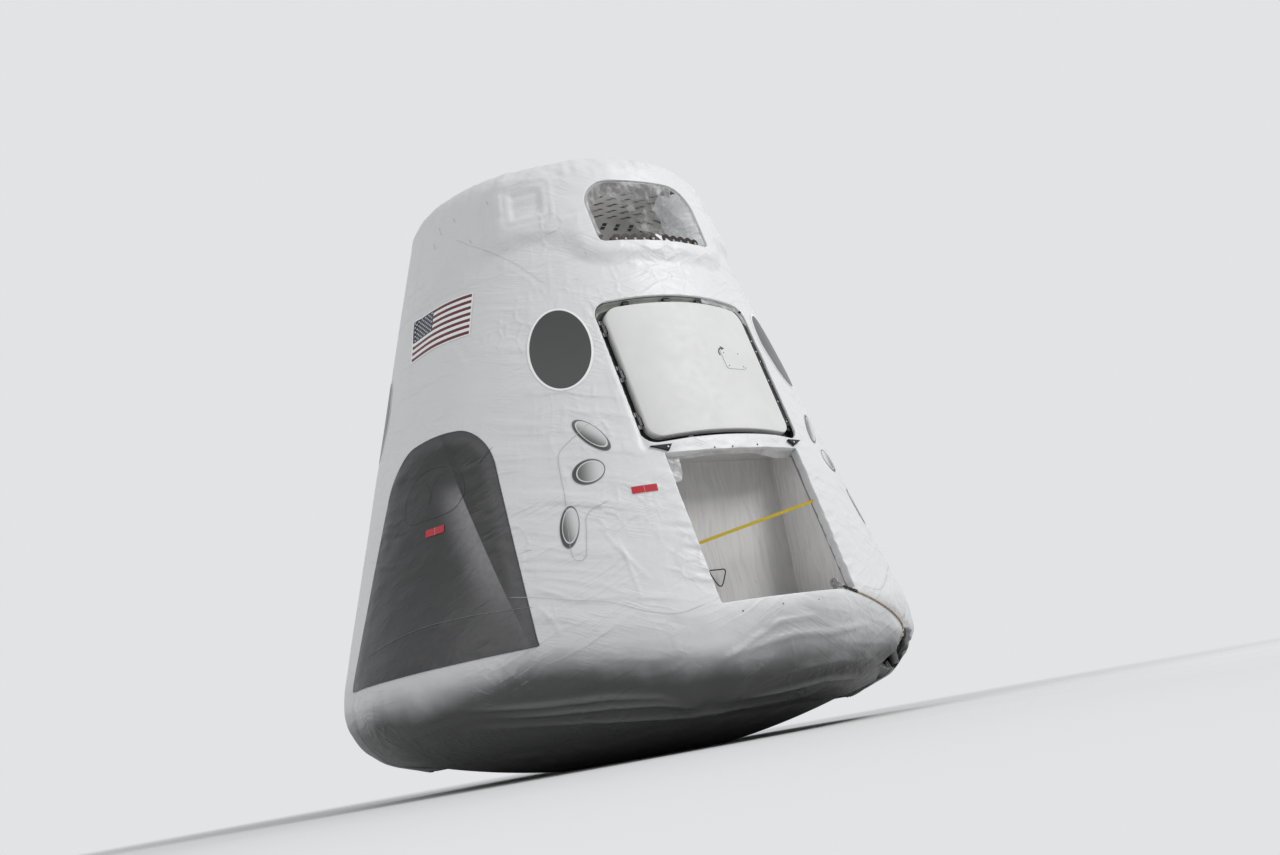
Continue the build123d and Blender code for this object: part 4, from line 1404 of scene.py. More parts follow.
def heads_on_plane(name, places, inset, material, radius, height, recess=0.0, body="hull",
                   angle=0, z=HATCH_Z):
    """Fastener heads on a face in line with the wall, at places on a touching plane."""
    places = np.asarray(places, float)
    point = project(angle, z, places[:, 0], places[:, 1], inset)
    out = point * [1, 1, 0]
    out = out / np.linalg.norm(out, axis=1)[:, None] * cos(LEAN) + np.array([0, 0, sin(LEAN)])
    return heads(name, point, out, material, radius, height, recess, body)


def polygon_distance(x, y, corners):
    """Distance to a polygon, below zero inside it."""
    corners = np.asarray(corners, float)
    nearest = np.full(np.shape(x), 9.0)
    inside = np.zeros(np.shape(x), bool)
    for (ax, ay), (bx, by) in zip(corners, np.roll(corners, -1, axis=0)):
        ex, ey = bx - ax, by - ay
        share = np.clip(((x - ax) * ex + (y - ay) * ey) / (ex * ex + ey * ey), 0, 1)
        nearest = np.minimum(nearest, np.hypot(x - ax - share * ex, y - ay - share * ey))
        crosses = ((ay > y) != (by > y)) & (x < (bx - ax) * (y - ay) / (by - ay + 1e-12) + ax)
        inside = inside ^ crosses
    return np.where(inside, -nearest, nearest)


def loose_film(name, x, z, level, depth, material, flat=None):
    """Loose film over places in X and Z, kept where level is above zero, at a depth behind the cone."""
    y = depth - np.sqrt(cone_r(z) ** 2 - x ** 2)
    bm, _ = trimmed_grid(np.stack([x, y, z], -1), level)
    bmesh.ops.remove_doubles(bm, verts=bm.verts, dist=1e-5)
    face_way(bm, FORWARD)
    piece = finish(name, bm, material)
    kept = level > 0
    wide, tall = float(np.ptp(x[kept])), float(np.ptp(z[kept]))
    flat = flat or (round(wide * 1.15, 3), round(tall * 1.2, 3))
    return piece


def plate(name, angle, z, corners, outer, inner, material):
    """Flat plate with the corners of a convex outline on a touching plane, between two insets."""
    corners = np.asarray(corners, float)
    bm = bmesh.new()
    middle = corners.mean(axis=0)
    rows = [wall_row(bm, angle, z, middle + (corners - middle) * share, depth)
            for share, depth in ((1.0, inner), (1.0, outer + 0.0008), (0.97, outer))]
    bridge(bm, rows, True)
    bm.faces.new(rows[-1])
    bm.faces.new(rows[0][::-1])
    bmesh.ops.recalc_face_normals(bm, faces=bm.faces)
    return finish(name, bm, material, smooth_faces=False)


# Materials

WHITE_FILM = film_material("white film", grey(0.66, -0.012))
# Painted light: a copy of the white film painted lighter, for the film where it turns into the shaded upper
# bay.
TURNED_IN_FILM_PAINTED_LIGHTER = film_material("turned-in film painted lighter", grey(0.90, -0.02))
BAY_GREY = bay_panel_material("bay back grey", 0.60)
# Painted light: the bay's side panels are the same paint as the back, painted lighter where the walls catch the
# light.
BAY_SIDES_PAINTED_LIGHTER = bay_panel_material("bay sides painted lighter grey", 0.84)
INNER_GREY = plain_material("inner wall grey", grey(0.26), grey(0.31), 4.0, 0.6, 0.0006)
DECK_GREY = plain_material("deck grey", grey(0.20), grey(0.26), 12.0, 0.7, 0.001)
BASE_GREY = plain_material("base dish grey", grey(0.12), grey(0.17), 6.0, 0.6, 0.001)
LINER_GREY = plain_material("quilted liner grey", grey(0.33, 0.02), grey(0.42, 0.02), 7.0, 0.45, 0.001)
BAY_LINER = dashed_liner_material()
WORN_FILM = plain_material("worn film", grey(0.44, 0.03), grey(0.60, 0.03), 9.0, 0.45, 0.002)
DOOR_WHITE = plain_material("door paint", grey(0.585, 0.004), grey(0.615, 0.004), 3.0, 0.58, 0.0002)
# Painted light: the door's sides are the door's own paint made lighter, standing in for light bounced onto them
# from below.
DOOR_SIDES_PAINTED_LIGHTER = plain_material("door sides painted lighter grey", grey(0.68, 0.01), grey(0.76, 0.01), 9.0, 0.5, 0.0004)
RUBBER = plain_material("black rubber", grey(0.012), grey(0.024), 20.0, 0.5, 0.0006)
FRAME_GREY = plain_material("frame grey green", (0.075, 0.085, 0.075, 1), (0.11, 0.12, 0.11, 1), 14.0, 0.5,
                            0.0005)
BRIGHT_METAL = plain_material("zinc fasteners", grey(0.55), grey(0.72), 60.0, 0.32, 0.0002, Metallic=1.0)
DARK_METAL = plain_material("dark steel", grey(0.03), grey(0.06), 40.0, 0.42, 0.0004, Metallic=0.7)
LINK_BROWN = plain_material("brown links", (0.006, 0.004, 0.003, 1), (0.026, 0.012, 0.009, 1), 40.0, 0.36,
                            0.0004, Metallic=0.5)
TUBE_GREY = plain_material("grey rubber tube", grey(0.10), grey(0.16), 12.0, 0.42, 0.0006)
STEEL = plain_material("galvanised steel", grey(0.30), grey(0.42), 30.0, 0.45, 0.0004, Metallic=0.85)
BLACK_PRINT = plain_material("black print", grey(0.016), grey(0.026), 30.0, 0.4)
PIN_PALE = plain_material("pale link pins", grey(0.34, 0.03), grey(0.48, 0.03), 90.0, 0.4)
WHITE_HEADS = plain_material("white rivets", grey(0.66), grey(0.74), 80.0, 0.4)
COVER_SHADE = plain_material("cover edge shade", grey(0.26), grey(0.34), 30.0, 0.5)
GAP_RUBBER = plain_material("dull black rubber", grey(0.010), grey(0.020), 20.0, 0.82, 0.0006)
FRAME_BAND = plain_material("frame band grey green", (0.46, 0.48, 0.44, 1), (0.58, 0.60, 0.56, 1), 14.0, 0.6,
                            0.0005)
POD_LINE = plain_material("pod foot line", grey(0.105), grey(0.125), 30.0, 0.42)
DARK_LINE = plain_material("dark print line", grey(0.030), grey(0.045), 20.0, 0.4)
FAINT_LINE = plain_material("faint print line", grey(0.40), grey(0.46), 20.0, 0.42)
YELLOW_WEB = webbing_material("yellow webbing", (0.62, 0.46, 0.015, 1), (0.42, 0.30, 0.01, 1))
BLACK_CORD = plain_material("black cord", grey(0.014), grey(0.035), 120.0, 0.75, 0.001)
ROPE = plain_material("tan rope", (0.42, 0.33, 0.24, 1), (0.60, 0.52, 0.42, 1), 90.0, 0.8, 0.001)
CLEAR_FILM = see_through_material("crumpled clear film", grey(0.34, 0.005), 0.30, 0.34)
CRUMPLED_GREY = see_through_material("crumpled liner film", grey(0.27, 0.012), 0.90, 0.42)
TAPE = see_through_material("clear tape", grey(0.62), 0.45, 0.3)


DRESS = (  # materials of the CAD nodes
    (INNER_GREY, "wall_front wall_left wall_right wall_rear_left wall_rear_right shoulder_ring"),
    (LINER_GREY, "crown_shell"),
    (BASE_GREY, "heat_shield"),
    (DECK_GREY, "cabin_floor"),
    (BAY_LINER, "drogue_tub"),
    (BAY_GREY, "bay_back bay_roof"),
    # side panels in the lighter-painted copy: painted light
    (BAY_SIDES_PAINTED_LIGHTER, "bay_left bay_right"),
    (FRAME_GREY, "hatch_frame"),
    (GAP_RUBBER, "hatch_seal hatch_strip"),
    (DARK_METAL, "frame_knuckles door_knuckles"),
    (LINK_BROWN, "riser_links_left riser_links_right"),
    # the tow point's recess is black: painted shade standing in for the deep hollow behind the tow opening
    (RUBBER, "tow_recess"),
    (STEEL, "tow_lug sill_lug"),
    (TUBE_GREY, "tow_tube"),
    (ROPE, "tether_line"),
    (BLACK_CORD, "grab_loop"),
    (DOOR_WHITE, "hatch_door release_cover"),
    (YELLOW_WEB, "yellow_strap"),
)
for material, names in DRESS:
    for name in names.split():
        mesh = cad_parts[name].data
        mesh.materials.clear()
        mesh.materials.append(material)


# Film skin

def lined(low, high, cell, scale=1.0):
    """Evenly spaced values, about a cell apart once scaled to metres."""
    return np.linspace(low, high, int(abs(high - low) * scale / cell) + 1)


wall_scale = radians(1) * cone_r(1.6)
seam_run, fine_to, crown_run = run_at(SEAM_Z - 0.012), run_at(1.86), run_at(CROWN_SEAM_Z + 0.01)
front_angles = np.concatenate([lined(FRONT_FROM, FINE_FROM, FILM_CELL, wall_scale)[:-1],
                               lined(FINE_FROM, FINE_TO, FINE_CELL, wall_scale),
                               lined(FINE_TO, FRONT_TO, FILM_CELL, wall_scale)[1:]])
front_runs = np.concatenate([lined(seam_run, fine_to, FINE_CELL)[:-1], lined(fine_to, crown_run, 0.0140)])
film_piece("film_front", front_angles, front_runs)
film_piece("film_rear", lined(FRONT_TO - 0.4, 360 + FRONT_FROM + 0.4, 0.022, wall_scale),
           lined(seam_run, crown_run, 0.022), 0.0008)
film_piece("film_shoulder", lined(-180, 180, 0.0145, radians(1) * 1.95), lined(0.0, run_at(SEAM_Z), 0.0145),
           0.0008)
film_piece("film_crown", lined(-180, 180, 0.0155, radians(1) * 1.2),
           np.concatenate([lined(run_at(CROWN_SEAM_Z), sum(RUNS) + 0.02, 0.0145),
                           lined(sum(RUNS) + 0.05, RUN_END, 0.035)]), 0.0006)


# Prints

WINDOW_PRINT = window_material()
POD_PRINT = pod_material()
for name, angle in WINDOWS.items():
    wide, tall = WINDOW[0] + WINDOW_RIM, WINDOW[1] + WINDOW_RIM
    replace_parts(print_patch("print_" + name, angle, WINDOW_Z, (wide + 0.004, tall + 0.004),
                            lambda x, y, p: ellipse_distance(x, y, wide, tall), WINDOW_PRINT), name)


def pod_side(angle):
    """Which way the picture of a pod is turned."""
    return 1 if angle < 0 else -1


for name, angle in PODS.items():
    side = pod_side(angle)
    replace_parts(print_patch("print_" + name, angle, POD_Z, (2 * POD_LOW_HALF + 0.25, 2.1),
                            lambda x, y, p: np.maximum(pod_distance(x, y), POD_LOW_Z + 0.002 - p[..., 2]),
                            POD_PRINT, cell=0.0135,
                            values=(lambda x, y: side * x, lambda x, y: -pod_distance(x, y))), name)


def mirrored(side, points):
    """Places on a plane, mirrored for the other side."""
    return [(side * x, y) for x, y in points]


CAP = [(-0.265, 0.540), (-0.245, 0.455), (-0.170, 0.418), (-0.040, 0.412), (0.100, 0.412), (0.215, 0.428),
       (0.285, 0.500), (0.280, 0.610), (0.215, 0.700), (0.110, 0.752), (-0.040, 0.762), (-0.165, 0.722),
       (-0.245, 0.640)]
ROUND_CAP = [(-0.131 + 0.132 * cos(t), 0.560 + 0.132 * sin(t)) for t in np.linspace(-0.7, 3.3, 11)]
INNER_ARC = [(0.010, 0.560), (0.008, 0.610), (0.030, 0.655), (0.075, 0.690), (0.135, 0.700)]
POD_SEAM = [(0.485, 0.800), (0.429, 0.744), (0.376, 0.689)]
FOOT_LINE = [(-0.62, -0.36), (-0.10, -0.315), (0.30, -0.300), (0.80, -0.295)]
POD_OUTLINES = (  # points, width, closed
    (CAP, 0.0035, True),
    (ROUND_CAP, 0.0028, False),
    (INNER_ARC, 0.0028, False),
    (POD_SEAM, 0.0050, False),
)
film_lines("pod_outlines",
           [(angle, POD_Z, mirrored(pod_side(angle), points), width, closed)
            for angle in PODS.values() for points, width, closed in POD_OUTLINES], DARK_LINE, 0.0052)
film_lines("pod_foot_lines",
           [(angle, POD_Z, mirrored(pod_side(angle), FOOT_LINE), 0.0040, False)
            for angle in PODS.values()], POD_LINE, 0.0052)
HEX = [(-0.054, 0.343), (-0.170, 0.262), (-0.285, 0.164), (-0.300, 0.02), (-0.296, -0.123), (-0.310, -0.36),
       (-0.312, -0.530), (-0.270, -0.570), (-0.231, -0.544), (-0.205, -0.40), (-0.176, -0.279),
       (-0.031, -0.214)]
BELT = [(-0.90, 0.27), (-0.72, 0.20), (-0.55, 0.13), (-0.36, 0.07), (-0.16, -0.03), (0.02, -0.08),
        (0.20, -0.05)]
DIAGONAL = [(-0.30, 0.46), (-0.16, 0.34), (0.0, 0.225), (0.19, 0.06), (0.37, -0.13)]
FAINT_OUTLINES = (  # angle on the right, height, points, width
    (30, 1.75, HEX, 0.0030),
    (24, 0.86, BELT, 0.0022),
    (54, 3.26, DIAGONAL, 0.0022),
)
film_lines("nozzle_outlines",
           [(side * angle, z, mirrored(-side, points), width, False)
            for side in (-1, 1) for angle, z, points, width in FAINT_OUTLINES], FAINT_LINE, 0.0034)
SCRATCHES = (  # angle, height, length
    (-54.5, 3.86, 0.05), (-77.5, 3.84, 0.04), (-79.6, 3.72, 0.07), (-76.7, 3.80, 0.03), (-69.7, 3.85, 0.05),
    (-62.0, 3.62, 0.04), (-25.0, 3.30, 0.03), (-8.0, 0.90, 0.03), (24.0, 1.22, 0.03), (-96.0, 3.40, 0.05),
)
film_lines("scratches", [(angle, z, [(-long * 0.26, long * 0.5), (0, 0.004), (long * 0.24, -long * 0.5)],
                          0.0026, False) for angle, z, long in SCRATCHES], DARK_LINE, 0.0034)


def nozzle_prints(side, node_name):
    """Three printed bells of one side."""
    for number, (angle, z, width, length, turn, shine) in enumerate(NOZZLES, 1):
        c, s = cos(radians(side * turn)), sin(radians(side * turn))

        def across(x, y):
            """Places along the bell's width."""
            return x * c + y * s

        def along(x, y):
            """Places along the bell's length."""
            return -x * s + y * c

        made = print_patch("print_%s_%d" % (node_name, number), side * angle, z, (length, length),
                           lambda x, y, p: ellipse_distance(across(x, y), along(x, y), width, length),
                           nozzle_material("bell print %s %d" % (node_name, number), shine), cell=0.009,
                           values=(lambda x, y: across(x, y) / (width / 2),
                                   lambda x, y: along(x, y) / (length / 2)))
        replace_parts(made, node_name)


def sharp_box(size):
    """Distance to a print with nearly sharp corners."""
    return lambda x, y, p: box_distance(x, y, size + (0.002,))


nozzle_prints(-1, "nozzles_left")
nozzle_prints(1, "nozzles_right")
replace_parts(print_patch("print_flag", FLAG_ANGLE, FLAG_Z, FLAG, sharp_box(FLAG), flag_material(), cell=0.009),
            "flag_panel")
print_patch("label_front", -23.95, 1.578, (0.17, 0.07), sharp_box(FRONT_LABEL),
            label_material("front label", FRONT_LABEL, 0.0028, 0.0004), cell=0.008)
print_patch("label_pod", -69.8, 1.603, (0.17, 0.08), sharp_box(POD_LABEL),
            label_material("pod label", POD_LABEL, -0.004, 0.010), gap=0.0054, cell=0.008)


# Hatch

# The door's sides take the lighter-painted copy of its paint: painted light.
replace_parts(wall_slab("door_slab", 0, HATCH_Z, DOOR, 0.0, DOOR_T, 0.008, DOOR_WHITE, "hatch",
                      sides=DOOR_SIDES_PAINTED_LIGHTER), "hatch_door")
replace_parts(wall_slab("release_plate", COVER_ANGLE, COVER_Z, COVER, -COVER_T, 0.0, 0.0012, DOOR_WHITE,
                      "hatch", sides=COVER_SHADE), "release_cover")
heads_on_plane("release_screws",
               [(-0.070, 0.052), (0.070, 0.052), (-0.070, -0.052), (0.070, -0.052), (0.086, -0.061)],
               -COVER_T + 0.0002, DARK_METAL, 0.0042, 0.0022, 0.5, "hatch", COVER_ANGLE, COVER_Z)


def arrow_print():
    """Curved arrow printed on the door, with its head over the corner of the cover."""
    middle = np.array((-0.062, 0.046))
    turns = np.radians(np.linspace(198, 100, 16))
    turned = np.stack([np.cos(turns), np.sin(turns)], -1)
    bm = bmesh.new()
    outer, inner = [wall_row(bm, COVER_ANGLE, COVER_Z, middle + radius * turned, ARROW_INSET)
                    for radius in (0.0530, 0.0420)]
    for n in range(len(outer) - 1):
        bm.faces.new((outer[n], inner[n], inner[n + 1], outer[n + 1]))
    tip = np.array([(-0.074, 0.109), (-0.076, 0.076), (-0.042, 0.090)])
    bm.faces.new(wall_row(bm, COVER_ANGLE, COVER_Z, tip, ARROW_INSET))
    bm.normal_update()
    for face in bm.faces:
        if face.normal.dot(FORWARD) < 0:
            face.normal_flip()
    return finish("arrow_print", bm, BLACK_PRINT, "hatch")


def gap_liner():
    """Lining of the hatch's gap over wall and frame: black rubber, grey green along the top behind black."""
    rings = [(-0.006, -0.002), (0.0016, -0.004), (0.0016, 0.016), (0.0016, 0.040), (0.0022, 0.0575),
             (0.020, 0.0585), (0.0345, 0.0585), (0.0355, 0.0600)]
    bm = bmesh.new()
    rows = [wall_row(bm, 0, HATCH_Z, rounded_outline(CUTOUT, inset), depth) for inset, depth in rings]
    flat = rounded_outline(CUTOUT, 0.0016)
    for ring, (low, high) in enumerate(zip(rows, rows[1:])):
        for n in range(len(low)):
            m = (n + 1) % len(low)
            face = bm.faces.new((low[n], high[n], high[m], low[m]))
            face.material_index = int(ring > 1 and flat[n, 1] > 0.500)
    bm.normal_update()
    hub = Vector(project(0, HATCH_Z, 0.0, 0.0, -0.3))
    if sum(face.normal.dot(hub - face.calc_center_median()) * face.calc_area() for face in bm.faces) < 0:
        bmesh.ops.reverse_faces(bm, faces=bm.faces)
    finish("gap_liner", bm, GAP_RUBBER).data.materials.append(FRAME_BAND)
    upward = (0, sin(LEAN), cos(LEAN))
    places = [(CUTOUT[0] / 2 - 0.0018, y, (-1, 0, 0)) for y in (0.34, 0.20, 0.06, -0.08, -0.22, -0.36)]
    places += [(x, -CUTOUT[1] / 2 + 0.0018, upward) for x in (0.50, 0.38)]
    points = [project(0, HATCH_Z, x, y, 0.012) for x, y, aim in places]
    heads("liner_rivets", points, [aim for x, y, aim in places], WHITE_HEADS, 0.0046, 0.0026, 0.0)


arrow_print()
gap_liner()
wall_slab("strip_pad", 0, HATCH_Z, (0.035, 0.860, 0.006), 0.006, 0.0195, 0.002, GAP_RUBBER,
          place=(STRIP_X, 0))
heads_on_plane("strip_rivets", [(STRIP_X, y) for y in (0.273, 0.184, 0.100, -0.060, -0.233, -0.395)],
               0.0062, WHITE_HEADS, 0.0056, 0.0030)
heads_on_plane("frame_rivets", [(x, y) for y in (-0.552, 0.552) for x in np.linspace(-0.50, 0.50, 11)]
               + [(x, y) for x in (-0.614, 0.614) for y in np.linspace(-0.42, 0.42, 9)],
               0.060, BRIGHT_METAL, 0.005, 0.0026)
FRAME_CLIPS = (  # x, y, width
    (-0.388, 0.533, 0.040),
    (-0.088, 0.533, 0.052),
    (0.180, 0.533, 0.044),
    (0.476, 0.527, 0.050),
    (-0.300, -0.533, 0.040),
    (0.300, -0.533, 0.040),
)
for number, (x, y, wide) in enumerate(FRAME_CLIPS, 1):
    wall_slab("frame_clip_%d" % number, 0, HATCH_Z, (wide, 0.026, 0.004), 0.020, 0.060, 0.003, RUBBER,
              place=(x, y))


def tape_over_corner():
    """Clear tape over the gap at the top right corner of the hatch, creased and lifting a little."""
    points = rounded_outline((1.186, 1.058, 0.098), 0, 16, 60)
    points = np.concatenate([points[30:], points[:30]])
    points = np.array([p for p in points if p[0] > 0.19 and p[1] > 0.405])
    points = points[np.argsort(np.arctan2(points[:, 1] - 0.2, points[:, 0]))]
    step = np.gradient(points, axis=0)
    out = np.stack([step[:, 1], -step[:, 0]], 1) / np.hypot(step[:, 0], step[:, 1])[:, None]
    bm = bmesh.new()
    rows = []
    for across in np.linspace(-1, 1, 7):
        flat = points + out * across * 0.0235
        lift = 0.0045 * noise(at(flat[:, 0] * 26, flat[:, 1] * 26), 91) + 0.010 * (1 - across ** 2)
        rows.append([bm.verts.new(project(0, HATCH_Z, x, y, 0.002 + d)) for (x, y), d in zip(flat, lift)])
    bridge(bm, rows)
    face_way(bm, FORWARD)
    piece = finish("corner_tape", bm, TAPE)


tape_over_corner()
for label, rivet_x, corners in (("left", -0.508, [(-0.610, -0.570), (-0.478, -0.583), (-0.508, -0.624)]),
                                ("right", 0.508, [(0.600, -0.570), (0.455, -0.585), (0.505, -0.622)])):
    plate("bracket_" + label, 0, HATCH_Z, corners, -0.036, -0.016, GAP_RUBBER)
    heads_on_plane("bracket_rivet_" + label, [(rivet_x, -0.600)], -0.0358, WHITE_HEADS, 0.006, 0.003)
heads_on_film("lintel_studs", [(-6.4, 1.803), (-1.8, 1.805), (5.2, 1.812)], DARK_METAL, 0.0055, 0.005)


# Lower bay

LOOP = (
    (-0.020, 0.004), (-0.056, 0.006), (-0.066, -0.004), (-0.046, -0.044), (-0.014, -0.096), (0.006, -0.106),
    (0.022, -0.094), (0.048, -0.048), (0.066, -0.006), (0.054, 0.006), (0.020, 0.003), (-0.028, 0.005),
)
loop_route = route_mesh([(-0.135 + x, BAY_BACK_Y - 0.051, 1.070 + z) for x, z in LOOP])
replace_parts(grown("loop_cord", LAID_ROPE, loop_route, BLACK_CORD, Radius=0.0046, Turns_per_metre=30.0),
            "grab_loop")
heads_on_plane("sill_snaps", [(x, -0.115) for x in (-0.42, -0.14, 0.14)], -0.012, DARK_METAL, 0.0045,
               0.002, 0.5, z=0.86)


def grid(left, right, columns, low, high, rows):
    """Places in X and Z of a grid."""
    return np.meshgrid(np.linspace(left, right, columns), np.linspace(low, high, rows))


x, z = grid(-0.54, -0.40, 16, 1.58, 1.80, 24)
torn = [(-0.524, 1.79), (-0.425, 1.793), (-0.436, 1.66), (-0.458, 1.615), (-0.52, 1.60)]
level = -polygon_distance(x, z, torn)
depth = 0.030 + 0.010 * noise(at(x * 18, z * 15), 93) + 0.006 * crumple(x * 20, z * 12, 94)
loose_film("bay_corner_tape", x, z, level, depth, TAPE)

x, z = grid(-0.55, 0.55, 150, 1.66, 1.80, 20)
foot = BAY_HIGH_Z - 0.030 - 0.012 * noise(at(x * 8, x), 105) - 0.016 * smooth(x, 0.05, 0.30)
level = np.minimum(0.524 - np.abs(x), z - foot)
level = np.minimum(level, BAY_HIGH_Z - 0.002 - z)
depth = 0.004 + 1.3 * (BAY_HIGH_Z - z) + 0.007 * crumple(x * 13, z * 16, 107)
loose_film("lintel_wrap", x, z, level, depth, WORN_FILM)


# Upper bay

x, z = grid(-0.45, 0.45, 150, 3.36, 3.88, 88)
inside_mouth = -mouth_distance(x, z)
folded = crumple(x * 16, z * 16, 95)
hem = (0.052 + 0.024 * noise(at(x * 9, z * 9), 97) + 0.060 * smooth(x, -0.26, -0.38) * smooth(z, 3.70, 3.78)
       + 0.020 * smooth(np.abs(x), 0.30, 0.0))
level = np.minimum(np.minimum(hem - inside_mouth, inside_mouth - 0.001), (z - 3.47) * 0.6)
level = np.minimum(level, (0.30 - x) * 0.6)
loose_film("mouth_trim", x, z, level, -0.049 + 1.1 * inside_mouth + 0.008 * folded, CRUMPLED_GREY,
           (1.20, 0.09))
FLAP = [(-0.235, 3.800), (-0.120, 3.765), (-0.010, 3.715), (0.060, 3.650), (0.115, 3.570), (0.200, 3.500),
        (0.320, 3.455), (0.380, 3.410), (0.362, 3.66), (0.27, 3.80), (0.10, 3.872), (-0.10, 3.868)]
level = np.minimum(-polygon_distance(x, z, FLAP), inside_mouth - 0.006)
depth = (-0.030 + 0.26 * smooth(inside_mouth, 0.0, 0.26) + 0.005 * crumple(x * 7, z * 6, 98)
         + 0.004 * crumple(x * 19, z * 17, 101))
loose_film("clear_flap", x, z, level, depth, CLEAR_FILM)
# Film turned in along the right of the mouth, in the lighter-painted copy of the white film: painted light.
from_side = np.where(z < 3.55, MOUTH_W / 2 - x, inside_mouth)
level = np.minimum(0.125 + 0.022 * noise(at(z * 9, x), 103) - from_side, inside_mouth - 0.002)
level = np.minimum(level, np.minimum((x - 0.22) * 0.7, (3.84 - z) * 0.7))
loose_film("mouth_return", x, z, level, -0.052 + 1.9 * from_side + 0.012 * folded, TURNED_IN_FILM_PAINTED_LIGHTER,
           (0.36, 0.56))

x, z = grid(-0.06, 0.12, 26, 3.366, 3.45, 12)
TAIL = [(-0.034, 3.437), (-0.012, 3.443), (0.098, 3.380), (0.105, 3.370), (0.022, 3.369)]
loose_film("pale_tail", x, z, -polygon_distance(x, z, TAIL), -0.049 + 0.002 * noise(at(x * 20, z * 30), 90),
           WHITE_FILM)

EDGE_R = cone_r(MOUTH_LOW_Z) + HOUSING_RISE / cos(LEAN)
link_eyes, link_aims = [], []
for side in (-1, 1):
    turn = side * 0.195 / EDGE_R
    for x in np.linspace(-0.139, 0.139, 5):
        y = 0.017 - EDGE_R
        link_eyes.append((x * cos(turn) - y * sin(turn), x * sin(turn) + y * cos(turn), MOUTH_LOW_Z + 0.035))
        link_aims.append((sin(turn), -cos(turn), 0))
heads("link_pins", link_eyes, link_aims, PIN_PALE, 0.0098, 0.0035, 0.4)


# Tow point and tether

def tow_place(x, reach, z):
    """Point at a place across, outwards and up at the tow point's angle."""
    c, s = TOW_TURN
    return np.array((x * c + reach * s, x * s - reach * c, z))


def shoulder_r(z):
    """Outer radius of the shoulder or the wall at a height."""
    return float(outline(run_at(z))[0])


def tow_collar():
    """Rolled rubber edge over the arch of the tow point."""
    half = asin(TOW_HALF_W / TOW_ARCH_R)
    edge_r = TOW_ARCH_R - 0.012
    points = []
    for turn in np.linspace(-half, half, 41):
        x, z = edge_r * sin(turn), TOW_HIGH_Z - TOW_ARCH_R + edge_r * cos(turn)
        r = shoulder_r(max(z, TOW_LOW_Z))
        points.append(tow_place(x, sqrt(r * r - x * x) - 0.010, z))
    grown("tow_collar", ROLLED, line_mesh(points), RUBBER, Radius=0.019, Unevenness=0.9, Scale=11.0,
          Step=0.006, Sides=12)
    points = [p + tow_place(0, -0.030, 0.0) - tow_place(0, 0.0, 0.016) for p in points[2:-2]]
    grown("tow_collar_inner", ROLLED, line_mesh(points), RUBBER, Radius=0.012, Unevenness=0.8, Scale=17.0,
          Step=0.006, Sides=10, Seed=9)


def tether_route():
    """Eye on the sill, stops of the tether over the shoulder, and eye of the tow point."""
    places = []
    for turn, z in TETHER_STOPS:
        angle, r = radians(turn), shoulder_r(z) + 0.017
        places.append(np.array((r * sin(angle), -r * cos(angle), z)))
    sill = radians(SILL_ANGLE)
    sill_r = cone_r(BAY_LOW_Z) - 0.060
    sill_eye = np.array((sill_r * sin(sill), -sill_r * cos(sill), BAY_LOW_Z + 0.055))
    return sill_eye, places, tow_place(0, TOW_EYE_R, TOW_EYE_Z)


def unit(vector):
    """Vector of length one."""
    return vector / np.linalg.norm(vector)


def wraps(start, end, turns, radius, phase=0.0, swell=0.0):
    """Stops of a coil from start to end, thicker in the middle by swell."""
    along = unit(end - start)
    side = unit(np.cross(along, (0.0, 0.0, 1.0)))
    other = np.cross(along, side)
    made = []
    for t in np.linspace(0, 1, int(turns * 8) + 1):
        angle = phase + 2 * pi * turns * t
        r = radius + swell * sin(pi * t)
        made.append(start + (end - start) * t + (side * cos(angle) + other * sin(angle)) * r)
    return made


BIGHT = (  # along the rope, then X, Y and Z
    (0.0, 0.0, 0.0, 0.020), (0.0, 0.020, 0.010, 0.034), (0.03, 0.036, 0.0, 0.022),
    (0.045, 0.026, 0.0, -0.010), (0.0, 0.010, 0.0, -0.026), (-0.03, -0.012, 0.0, -0.022),
    (-0.045, -0.020, 0.0, 0.004),
)
SWIVEL = (  # distance down the rope, radius
    (-0.012, 0.006), (0.0, 0.010), (0.018, 0.0115), (0.030, 0.007), (0.036, 0.0055), (0.052, 0.010),
    (0.060, 0.010), (0.074, 0.008), (0.086, 0.006),
)


